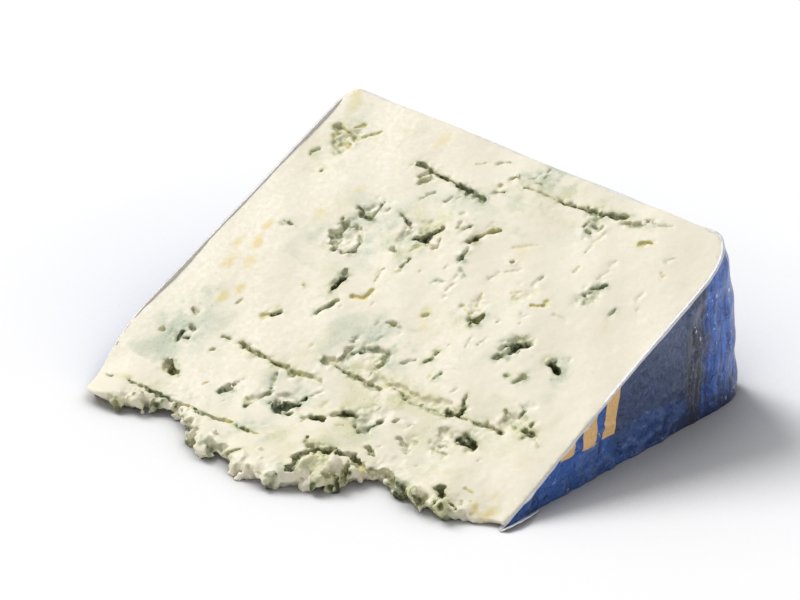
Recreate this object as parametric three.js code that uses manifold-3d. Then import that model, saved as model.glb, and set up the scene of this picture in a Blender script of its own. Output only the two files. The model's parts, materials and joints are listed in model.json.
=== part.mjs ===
// A hand-cut wedge of blue-veined cheese with the printed foil that it was cut through. The wedge is a
// slice of a drum-shaped wheel, lies on one of its two cut faces, and shows the other as a slope.
//
// The frame of the slice, in millimetres: X runs along the wheel's own axis, from its left flat face at 0 to its
// right flat face at WHEEL_HEIGHT. Y runs from the axis to the rind, and Z is up from the board that it lies on.
// At the end the group is moved, so that the origin is the middle of the footprint.

import * as THREE from 'three';
import { mergeVertices } from 'three/addons/utils/BufferGeometryUtils.js';
import Module from 'manifold-3d';

const wasm = await Module();
wasm.setup();
const { Manifold, Mesh } = wasm;

// The wheel that the wedge was cut from
const WHEEL_RADIUS = 96;
const WHEEL_HEIGHT = 101;
const RIGHT_SHOULDER = { radial: 12, axial: 6 };
const LEFT_SHOULDER = { radial: 3.5, axial: 2.5 };
const CENTRE_DIMPLE = { radius: 28, depth: 9.5 };

// The upper cut: a sloping plane that meets the board further from the axis at the right than at the left
const CUT_SLOPE = Math.tan(THREE.MathUtils.degToRad(26.5));
const CUT_START = { left: 3, right: 20.5 };
const CUT_WAVE = 0.45;

// The thin tip, broken off unevenly: how far it reaches from the axis, as [x, y] from left to right
const TIP_OUTLINE = [[0, 4], [10, 1.8], [25, 8.4], [42, 2.2], [60, 1.2], [66, 8], [73, 16.6], [89, 14.8], [101, 19]];
const LIP_HEIGHT = 3.6;
const LIP_RISE = 0.05;
const LIP_BLEND = 2.4;

// The foil: printed sheet round both flat faces and the rind, with a little air behind it
const FOIL_GAP = 0.35;
const FOIL_THICKNESS = 0.45;
const FOIL_ABOVE_CUT = 0.15;
const FOIL_OFF_BOARD = 0.6;
const PLEAT_DEPTH = 1.1;
const PLEATS_A_TURN = 66;
const FLAP = { length: 9, width: 0.8, thickness: 0.35 };

// Cavities lie along the curd's layers, which turn this far from straight up the slope
const CURD_TURN = THREE.MathUtils.degToRad(20);

// The large cavities of the upper cut, as [x, y, length, width, depth]
const MAIN_CAVITIES = [
  [9, 76, 8, 5, 2.2], [27, 64, 6, 3, 2], [27, 57, 8, 6, 2.6], [40, 63, 11, 5, 3], [53, 69, 6, 3.2, 2.4],
  [33, 47, 4.4, 2.8, 2.6], [36, 42, 5, 2, 2], [26, 35, 4.6, 2.8, 1.8], [16, 17, 4.4, 3.4, 2.4],
  [12, 24, 7, 4, 1.8], [39, 20, 6, 3.4, 2.2], [45, 22, 7, 4.4, 2.8], [50, 37, 8, 4, 2.2], [62, 27, 9, 5, 2.4],
  [72, 81, 6, 4, 2.4], [82, 68, 8, 3, 2.2], [71, 63, 6, 4.4, 1.6], [63, 54, 7, 4.4, 2], [77, 51, 8, 4.4, 2.6],
  [86, 52, 3.4, 3, 3], [88, 39, 7, 6, 2.2], [80, 31, 9, 6, 3.4], [61, 16, 12, 9, 3.4], [73, 26, 5, 3, 2],
];

// Tracks of the piercing needles, along the wheel's axis, as [from x, to x, y at the start, y at the end, radius]
const NEEDLE_TRACKS = [
  [8, 45, 10, 14, 1], [19, 49, 27, 28.5, 1], [56, 88, 33.5, 36, 1.5], [27, 47, 77, 75.4, 1.1], [60, 87, 82.5, 87, 1.1],
];

const SMALL_CAVITIES = 30;
const UNDERSIDE_CAVITIES = 10;
const TIP_CRUMBS = 17;

// Solids start this far under the board's plane and are trimmed off level with it
const BELOW_BOARD = 3;

/** Numbers from 0 to 1 in an order that the seed fixes. */
function seededRandom(seed) {
  let state = seed >>> 0;
  return () => {
    state = (state + 0x6d2b79f5) >>> 0;
    let t = Math.imul(state ^ (state >>> 15), 1 | state);
    t = (t + Math.imul(t ^ (t >>> 7), 61 | t)) ^ t;
    return ((t ^ (t >>> 14)) >>> 0) / 4294967296;
  };
}

/** A height that follows [x, height] points and eases from one to the next. */
function easeThrough(points, x) {
  const last = points.length - 1;
  if (x <= points[0][0]) return points[0][1];
  if (x >= points[last][0]) return points[last][1];
  const k = points.findIndex((point) => point[0] > x);
  const [x0, y0] = points[k - 1];
  const [x1, y1] = points[k];
  return THREE.MathUtils.lerp(y0, y1, THREE.MathUtils.smoothstep(x, x0, x1));
}

/** The larger of two heights, with a soft change from one to the other. */
function softMax(a, b, width) {
  const h = THREE.MathUtils.clamp(0.5 + (0.5 * (a - b)) / width, 0, 1);
  return THREE.MathUtils.lerp(b, a, h) + width * h * (1 - h);
}

/** A closed geometry as a solid: positions only, shared vertices merged, flat triangles dropped. */
function toSolid(geometry) {
  const bare = geometry.clone();
  bare.deleteAttribute('normal');
  bare.deleteAttribute('uv');
  const merged = mergeVertices(bare, 1e-4);
  const index = merged.index.array;
  const kept = [];
  for (let i = 0; i < index.length; i += 3) {
    const [a, b, c] = [index[i], index[i + 1], index[i + 2]];
    if (a !== b && b !== c && c !== a) kept.push(a, b, c);
  }
  const vertProperties = new Float32Array(merged.attributes.position.array);
  return new Manifold(new Mesh({ numProp: 3, vertProperties, triVerts: new Uint32Array(kept) }));
}

/** A solid as a named mesh with flat facets. */
function toMesh(solid, name, material) {
  const { vertProperties, triVerts, numProp } = solid.getMesh();
  const positions = new Float32Array((vertProperties.length / numProp) * 3);
  for (let v = 0; v < positions.length / 3; v++) {
    for (let axis = 0; axis < 3; axis++) positions[v * 3 + axis] = vertProperties[v * numProp + axis];
  }
  const geometry = new THREE.BufferGeometry();
  geometry.setAttribute('position', new THREE.BufferAttribute(positions, 3));
  geometry.setIndex(new THREE.BufferAttribute(new Uint32Array(triVerts), 1));
  const mesh = new THREE.Mesh(geometry, material);
  mesh.name = name;
  return mesh;
}

// The upper cut

const cutStart = (x) => THREE.MathUtils.lerp(CUT_START.left, CUT_START.right, x / WHEEL_HEIGHT);
const cutPlane = (x, y) => (y - cutStart(x)) * CUT_SLOPE;
const tipOutline = (x) => easeThrough(TIP_OUTLINE, x);

/** Long shallow waves that the knife left. */
function knifeWave(x, y) {
  const across = Math.sin(0.09 * x + 0.13 * y + 0.6) * 0.5;
  const along = Math.sin(0.21 * x - 0.07 * y + 2.1) * 0.3;
  const fine = Math.sin(0.37 * x + 0.31 * y) * 0.2;
  return CUT_WAVE * (across + along + fine);
}

/** The broken lip that takes over from the plane near the tip, and thins out towards both ends. */
function lipHeight(x, y) {
  const behind = Math.max(y - tipOutline(x), 0);
  const ends = THREE.MathUtils.smoothstep(x, -6, 14) * (1 - 0.75 * THREE.MathUtils.smoothstep(x, 84, 101));
  const nose = 1 - 0.62 * Math.exp(-behind / 1.5);
  return LIP_HEIGHT * ends * nose + LIP_RISE * behind;
}

function cutHeight(x, y) {
  return softMax(cutPlane(x, y), lipHeight(x, y), LIP_BLEND) + knifeWave(x, y);
}

/** Everything between a level floor and a height over it, with the broken tip as its front side. */
function blockUnder(height, floor, front, columns, rows) {
  const margin = 8;
  const xs = Array.from({ length: columns + 1 }, (_, i) => -margin + ((WHEEL_HEIGHT + 2 * margin) * i) / columns);
  const positions = [];
  for (const x of xs) {
    const y0 = front(x);
    for (let j = 0; j <= rows; j++) {
      const y = THREE.MathUtils.lerp(y0, WHEEL_RADIUS + margin, j / rows);
      positions.push(x, y, Math.max(height(x, y), floor + 0.05));
    }
  }
  const top = (i, j) => i * (rows + 1) + j;
  const rim = [];
  for (let i = 0; i < columns; i++) rim.push(top(i, 0));
  for (let j = 0; j < rows; j++) rim.push(top(columns, j));
  for (let i = columns; i > 0; i--) rim.push(top(i, rows));
  for (let j = rows; j > 0; j--) rim.push(top(0, j));
  const firstLow = positions.length / 3;
  for (const v of rim) positions.push(positions[v * 3], positions[v * 3 + 1], floor);
  const centre = positions.length / 3;
  positions.push(WHEEL_HEIGHT / 2, WHEEL_RADIUS / 2, floor);

  const triangles = [];
  for (let i = 0; i < columns; i++) {
    for (let j = 0; j < rows; j++) {
      triangles.push(top(i, j), top(i + 1, j), top(i + 1, j + 1));
      triangles.push(top(i, j), top(i + 1, j + 1), top(i, j + 1));
    }
  }
  rim.forEach((v, n) => {
    const next = (n + 1) % rim.length;
    triangles.push(v, firstLow + n, firstLow + next);
    triangles.push(v, firstLow + next, rim[next]);
    triangles.push(centre, firstLow + next, firstLow + n);
  });
  const geometry = new THREE.BufferGeometry();
  geometry.setAttribute('position', new THREE.Float32BufferAttribute(positions, 3));
  geometry.setIndex(triangles);
  return toSolid(geometry);
}

// The wheel

/** Half the wheel's outline, from the axis at the left face round to the axis at the right face, pushed out. */
function wheelProfile(pushed) {
  const points = [];
  const dimpleSteps = 5;
  for (let i = 0; i <= dimpleSteps; i++) {
    const r = (CENTRE_DIMPLE.radius * i) / dimpleSteps;
    const depth = CENTRE_DIMPLE.depth * (1 - r / CENTRE_DIMPLE.radius) ** 2;
    points.push(new THREE.Vector2(r, depth - pushed));
  }
  const shoulder = (size, face, sign, steps) => {
    const turned = [];
    for (let i = 0; i <= steps; i++) {
      const angle = (Math.PI / 2) * (i / steps);
      const radius = WHEEL_RADIUS - size.radial + (size.radial + pushed) * Math.sin(angle);
      const axial = face - sign * size.axial + sign * (size.axial + pushed) * Math.cos(angle);
      turned.push(new THREE.Vector2(radius, axial));
    }
    return turned;
  };
  points.push(...shoulder(LEFT_SHOULDER, 0, -1, 3));
  points.push(...shoulder(RIGHT_SHOULDER, WHEEL_HEIGHT, 1, 7).reverse());
  points.push(new THREE.Vector2(0, WHEEL_HEIGHT + pushed));
  return points;
}

/** Extra points, so that no stretch of a profile is longer than a limit. */
function subdivided(points, longest) {
  const fine = [points[0]];
  for (let i = 1; i < points.length; i++) {
    const pieces = Math.max(1, Math.ceil(points[i].distanceTo(points[i - 1]) / longest));
    for (let k = 1; k <= pieces; k++) fine.push(points[i - 1].clone().lerp(points[i], k / pieces));
  }
  return fine;
}

/** The wheel turned about its axis, which lies along X. */
function wheelSolid(pushed, segments, longest, displace) {
  const geometry = new THREE.LatheGeometry(subdivided(wheelProfile(pushed), longest), segments, 0.013);
  geometry.rotateZ(-Math.PI / 2);
  geometry.rotateX(Math.PI);
  if (displace) {
    const position = geometry.attributes.position;
    const point = new THREE.Vector3();
    for (let i = 0; i < position.count; i++) {
      displace(point.fromBufferAttribute(position, i));
      position.setXYZ(i, point.x, point.y, point.z);
    }
  }
  return toSolid(geometry);
}

// Cavities, needle tracks and crumbs

const UP_SLOPE = new THREE.Vector3(0, 1, CUT_SLOPE).normalize();
const ACROSS = new THREE.Vector3(1, 0, 0);
const OUT_OF_CUT = new THREE.Vector3().crossVectors(ACROSS, UP_SLOPE);

/** An uneven lump, in the frame of the cut: length up the slope, width across it, height out of it. */
function lump(place, size, turn, unevenness, phase, detail = 1) {
  const geometry = new THREE.IcosahedronGeometry(1, detail);
  const position = geometry.attributes.position;
  const point = new THREE.Vector3();
  const basis = new THREE.Matrix4().makeBasis(ACROSS, UP_SLOPE, OUT_OF_CUT).setPosition(place);
  const spin = new THREE.Matrix4().makeRotationZ(-turn);
  for (let i = 0; i < position.count; i++) {
    point.fromBufferAttribute(position, i);
    const bump = Math.sin(5.1 * point.x + phase) * Math.sin(4.3 * point.y + 2 * phase) * Math.cos(4.7 * point.z + phase);
    point.multiplyScalar(1 + unevenness * bump);
    point.multiply(size).applyMatrix4(spin).applyMatrix4(basis);
    position.setXYZ(i, point.x, point.y, point.z);
  }
  return toSolid(geometry);
}

/** A cavity that the knife opened, flattened between the curd's layers. */
function cavity(x, y, length, width, depth, turn, phase, detail = 1) {
  const sunk = 0.15 * depth;
  const place = new THREE.Vector3(x, y, cutHeight(x, y) - sunk);
  const size = new THREE.Vector3(width / 2, length / 2, depth);
  return lump(place, size, turn, 0.38, phase, detail);
}

/** How likely a small cavity is: more of them low on the cut and away from the right face. */
function cavityChance(x, y) {
  const low = 1 - 0.55 * THREE.MathUtils.smoothstep(y, 35, 90);
  return low * (1 - 0.85 * THREE.MathUtils.smoothstep(x, 84, 96));
}

function upperCavities() {
  const random = seededRandom(7);
  const made = MAIN_CAVITIES.map(([x, y, length, width, depth], i) =>
    cavity(x, y, length, width, depth, CURD_TURN + (random() - 0.5) * 0.5, i * 1.7, length > 8 ? 2 : 1)
  );
  while (made.length < MAIN_CAVITIES.length + SMALL_CAVITIES) {
    const x = 5 + 92 * random();
    const y = 12 + 76 * random();
    const [chance, length, width, turn, phase] = Array.from({ length: 5 }, random);
    if (y < cutStart(x) + 5 || chance > cavityChance(x, y)) continue;
    const long = 1.8 + 2.8 * length * length;
    made.push(cavity(x, y, long, long * (0.4 + 0.4 * width), 0.9 + long * 0.25, CURD_TURN + (turn - 0.5), 6 * phase));
  }
  return made;
}

function undersideCavities() {
  const random = seededRandom(19);
  return Array.from({ length: UNDERSIDE_CAVITIES }, () => {
    const [x, y, length, width, phase] = Array.from({ length: 5 }, random);
    const long = 3 + 6 * length * length;
    const place = new THREE.Vector3(6 + 88 * x, 24 + 60 * y, 0.3);
    return lump(place, new THREE.Vector3(long * (0.25 + 0.15 * width), long / 2, 1.6), 0.4, 0.38, 6 * phase);
  });
}

/** A round track that the knife laid open: a thin rod along the cut, uneven along its length. */
function needleTrack([x0, x1, y0, y1, radius], phase) {
  const rings = Math.ceil((x1 - x0) / 3.4);
  const geometry = new THREE.CylinderGeometry(radius, radius, 1, 7, rings);
  const position = geometry.attributes.position;
  for (let i = 0; i < position.count; i++) {
    const share = position.getY(i) + 0.5;
    const x = THREE.MathUtils.lerp(x0, x1, share);
    const y = THREE.MathUtils.lerp(y0, y1, share) + 0.35 * Math.sin(0.55 * x + phase);
    const pinch = 0.8 + 0.35 * Math.sin(0.9 * x + 2 * phase);
    const axisHeight = cutHeight(x, y) - 0.1 * radius;
    position.setXYZ(i, x, y - position.getX(i) * pinch, axisHeight + position.getZ(i) * pinch);
  }
  return toSolid(geometry);
}

/** Lumps of curd on the broken tip, with gaps bitten out between them. */
function tipCrumbs() {
  const random = seededRandom(31);
  const lumps = [];
  const bites = [];
  for (let i = 0; i < TIP_CRUMBS; i++) {
    const x = 10 + (82 * (i + 0.7 * random())) / TIP_CRUMBS;
    const [size, lift, reach, phase, stretch] = Array.from({ length: 5 }, random);
    const radius = 1.1 + 1.5 * size;
    const y = tipOutline(x) + 1.4 * reach;
    const isBite = i % 3 === 1;
    const place = new THREE.Vector3(x, isBite ? y - 0.6 : y + 0.8, isBite ? 2.6 : 0.8 + lift);
    const extent = new THREE.Vector3(radius * (0.9 + 0.8 * stretch), radius * 0.85, radius * 0.7);
    (isBite ? bites : lumps).push(lump(place, extent, 3 * phase, 0.5, 6 * phase));
  }
  return { lumps, bites };
}

// The pieces

function makeCheese() {
  const wheel = wheelSolid(0, 96, Infinity);
  const { lumps, bites } = tipCrumbs();
  const board = new THREE.BoxGeometry(300, 300, 100).translate(50, 50, -50);
  const openings = [...upperCavities(), ...NEEDLE_TRACKS.map(needleTrack), ...undersideCavities(), ...bites];
  const slice = blockUnder(cutHeight, -BELOW_BOARD, tipOutline, 30, 22).intersect(wheel);
  const crumbly = Manifold.union([slice, ...lumps]).subtract(Manifold.union(openings)).subtract(toSolid(board));
  const pieces = crumbly.decompose().sort((a, b) => b.volume() - a.volume());
  const material = new THREE.MeshStandardMaterial({ color: 0xf1e8d2, roughness: 0.62, metalness: 0 });
  return toMesh(pieces[0], 'cheese', material);
}

/** Pleats where the foil turns over the right shoulder, and slacker folds over the rind. */
function crumpleFoil(point) {
  const radius = Math.hypot(point.y, point.z);
  const angle = Math.atan2(point.z, point.y);
  const overShoulder = THREE.MathUtils.smoothstep(radius, 62, 84);
  const overRight = THREE.MathUtils.smoothstep(point.x, WHEEL_HEIGHT * 0.55, WHEEL_HEIGHT);
  const pleat = 0.5 + 0.5 * Math.sin(PLEATS_A_TURN * angle + 1.5 * Math.sin(0.12 * point.x));
  const slack = 0.5 + 0.5 * Math.sin(0.21 * point.x + 31 * angle);
  const outward = overShoulder * (PLEAT_DEPTH * overRight * pleat ** 2 + 0.45 * slack);
  const onRind = THREE.MathUtils.smoothstep(radius, 70, WHEEL_RADIUS);
  const scale = (outward * onRind) / Math.max(radius, 1);
  point.y += point.y * scale;
  point.z += point.z * scale;
  point.x += Math.sign(point.x - WHEEL_HEIGHT / 2) * outward * (1 - onRind);
}

function makeFoil() {
  const segments = 240;
  const longest = 10;
  const outside = wheelSolid(FOIL_GAP + FOIL_THICKNESS, segments, longest, crumpleFoil);
  const inside = wheelSolid(FOIL_GAP, segments, longest, crumpleFoil);
  const foilTop = (x, y) => cutPlane(x, y) + FOIL_ABOVE_CUT;
  const slice = blockUnder(foilTop, FOIL_OFF_BOARD, cutStart, 8, 8);
  const flap = new THREE.IcosahedronGeometry(1, 1).scale(FLAP.width, FLAP.length / 2, FLAP.thickness);
  flap.translate(WHEEL_HEIGHT + FOIL_GAP + FLAP.width, CUT_START.right + FLAP.length / 2, FOIL_OFF_BOARD + 0.4);
  const sheet = outside.subtract(inside).intersect(slice).add(toSolid(flap));
  const material = new THREE.MeshStandardMaterial({ color: 0x2f4f86, roughness: 0.32, metalness: 0.35 });
  return toMesh(sheet, 'foil', material);
}

const wedge = new THREE.Group();
wedge.name = 'blue_cheese_wedge';
wedge.add(makeCheese(), makeFoil());

const extent = new THREE.Box3().setFromObject(wedge);
const middle = extent.getCenter(new THREE.Vector3());
wedge.position.set(-middle.x, -middle.y, 0);

export default wedge;
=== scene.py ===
"""A wedge of blue-veined cheese with its printed foil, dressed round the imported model.

The paste is one closed surface, drawn where a field of distances is zero: the wheel that the wedge was cut
from, its sloping cut, its broken tip, its cavities and the tracks of the piercing needles. The foil is a
sheet that follows the wheel's outline. Crumbs of mouldy curd are scattered on the paste.

Lengths in the values below and in the functions that draw the paste are in millimetres, in the frame of the
slice: X runs along the wheel's own axis from its left face, Y from that axis to the rind, and Z is up from
the board. Lengths in the settings and in the node trees are in metres.
"""

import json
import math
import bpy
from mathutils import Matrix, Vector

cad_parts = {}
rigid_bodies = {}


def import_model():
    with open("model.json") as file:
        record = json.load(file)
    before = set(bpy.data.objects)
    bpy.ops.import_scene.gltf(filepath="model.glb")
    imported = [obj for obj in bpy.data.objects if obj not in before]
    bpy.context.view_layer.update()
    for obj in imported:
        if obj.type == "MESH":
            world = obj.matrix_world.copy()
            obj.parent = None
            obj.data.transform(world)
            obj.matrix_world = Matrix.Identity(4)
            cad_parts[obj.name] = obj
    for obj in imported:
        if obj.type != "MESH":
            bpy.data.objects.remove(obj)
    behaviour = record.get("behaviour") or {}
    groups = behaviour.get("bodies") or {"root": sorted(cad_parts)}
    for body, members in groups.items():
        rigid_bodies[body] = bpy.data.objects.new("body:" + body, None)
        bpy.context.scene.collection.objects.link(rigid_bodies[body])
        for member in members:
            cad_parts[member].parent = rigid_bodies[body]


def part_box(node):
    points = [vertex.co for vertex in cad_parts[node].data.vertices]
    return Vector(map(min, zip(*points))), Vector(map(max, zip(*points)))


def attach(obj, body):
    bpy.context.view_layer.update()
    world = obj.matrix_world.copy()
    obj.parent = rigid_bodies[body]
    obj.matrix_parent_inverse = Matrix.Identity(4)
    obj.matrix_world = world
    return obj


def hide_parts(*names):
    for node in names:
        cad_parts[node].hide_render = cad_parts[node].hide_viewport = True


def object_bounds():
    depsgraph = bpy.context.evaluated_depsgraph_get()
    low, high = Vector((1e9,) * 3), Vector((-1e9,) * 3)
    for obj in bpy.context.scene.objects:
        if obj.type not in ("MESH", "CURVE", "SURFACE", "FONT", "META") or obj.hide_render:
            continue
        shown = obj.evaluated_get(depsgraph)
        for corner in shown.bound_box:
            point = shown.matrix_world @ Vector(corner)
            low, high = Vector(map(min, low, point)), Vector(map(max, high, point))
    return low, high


bl_info = {
    "name": "Blue Cheese Wedge",
    "version": (1, 0, 0),
    "blender": (4, 5, 0),
    "location": "3D View > Sidebar > Cheese",
    "description": "Makes a wedge of blue-veined cheese with its printed foil, loose crumbs and a stage",
    "category": "Add Mesh",
}

from collections import namedtuple
from itertools import product

import bpy
import numpy as np
from bpy.props import FloatProperty, FloatVectorProperty, IntProperty, PointerProperty
from mathutils import Vector

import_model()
CAD_BOX = [list(corner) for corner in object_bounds()]

MM = 0.001
EACH_SQUARE_CENTIMETRE = 1e4

# The wheel that the wedge was cut from
WHEEL_RADIUS = 96.0
WHEEL_HEIGHT = 101.0
RIGHT_SHOULDER = (12.0, 6.0)
LEFT_SHOULDER = (3.5, 2.5)
DIMPLE_RADIUS = 28.0
DIMPLE_DEPTH = 9.5

# The upper cut and the broken tip
CUT_ANGLE = math.radians(26.5)
CUT_SLOPE = math.tan(CUT_ANGLE)
CUT_START = (3.0, 20.5)
CUT_WAVE = 0.45
TIP_OUTLINE = (
    (0, 4), (10, 1.8), (25, 8.4), (42, 2.2), (60, 1.2), (66, 8), (73, 16.6), (89, 14.8), (101, 19),
)
LIP_HEIGHT = 3.6
LIP_RISE = 0.05
LIP_BLEND = 2.4
CURD_TURN = math.radians(20)

# Where the slice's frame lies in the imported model: the left face and the rind are its guides
CHEESE_LOW, CHEESE_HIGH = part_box("cheese")
SLICE_ORIGIN = np.array([CHEESE_LOW.x / MM, CHEESE_HIGH.y / MM - WHEEL_RADIUS, 0.0])
LOWEST_Y = CHEESE_LOW.y / MM - SLICE_ORIGIN[1] + 0.05

# A cavity: its place on the cut, its size, and how much mould, ochre and pale green stain it has, each
# from 0 to 1
Cavity = namedtuple("Cavity", "x y length width depth mould ochre halo")

MAIN_CAVITIES = [
    Cavity(9, 76, 8, 6, 2.2, 1.0, 1.0, 0.5),
    Cavity(27, 64, 6, 3, 2, 0.85, 0.1, 0.3),
    Cavity(27, 57, 8, 6, 2.6, 0.1, 0.0, 0.7),
    Cavity(40, 63, 11, 5, 3, 1.0, 0.0, 0.8),
    Cavity(53, 69, 6, 3.2, 2.4, 0.65, 0.8, 0.2),
    Cavity(33, 47, 4.4, 2.8, 2.6, 0.95, 0.0, 0.2),
    Cavity(36, 42, 5, 2, 2, 0.8, 0.1, 0.2),
    Cavity(26, 35, 4.6, 2.8, 1.8, 0.55, 0.6, 0.2),
    Cavity(16, 17, 4.4, 3.4, 2.4, 0.6, 0.7, 0.2),
    Cavity(12, 24, 4.4, 2.4, 1.4, 0.7, 0.1, 0.9),
    Cavity(39, 20, 6, 3.4, 2.2, 0.6, 0.1, 0.8),
    Cavity(45, 22, 7, 4.4, 2.8, 0.95, 0.0, 0.8),
    Cavity(50, 36.5, 9, 10, 1.8, 0.1, 0.0, 0.7),
    Cavity(62, 27, 9, 5, 2.4, 0.65, 0.0, 0.8),
    Cavity(72, 81, 6, 4, 2.4, 0.8, 0.1, 0.5),
    Cavity(82, 68, 8, 3, 2.2, 0.6, 0.2, 0.3),
    Cavity(71, 63, 6, 4.4, 1.6, 0.3, 0.7, 0.4),
    Cavity(63, 54, 7, 4.4, 2, 0.45, 0.6, 0.4),
    Cavity(77, 51, 8, 4.4, 2.6, 0.85, 0.2, 0.3),
    Cavity(86, 52, 3.4, 3, 3, 0.9, 0.1, 0.1),
    Cavity(88, 39, 7, 6, 2.2, 0.6, 0.4, 0.5),
    Cavity(80, 31, 9, 6, 3.4, 1.0, 0.1, 0.4),
    Cavity(62.5, 12.8, 10, 8.4, 3.2, 0.85, 0.0, 1.0),
    Cavity(73, 26, 5, 3, 2, 0.6, 0.0, 0.6),
]

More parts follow.
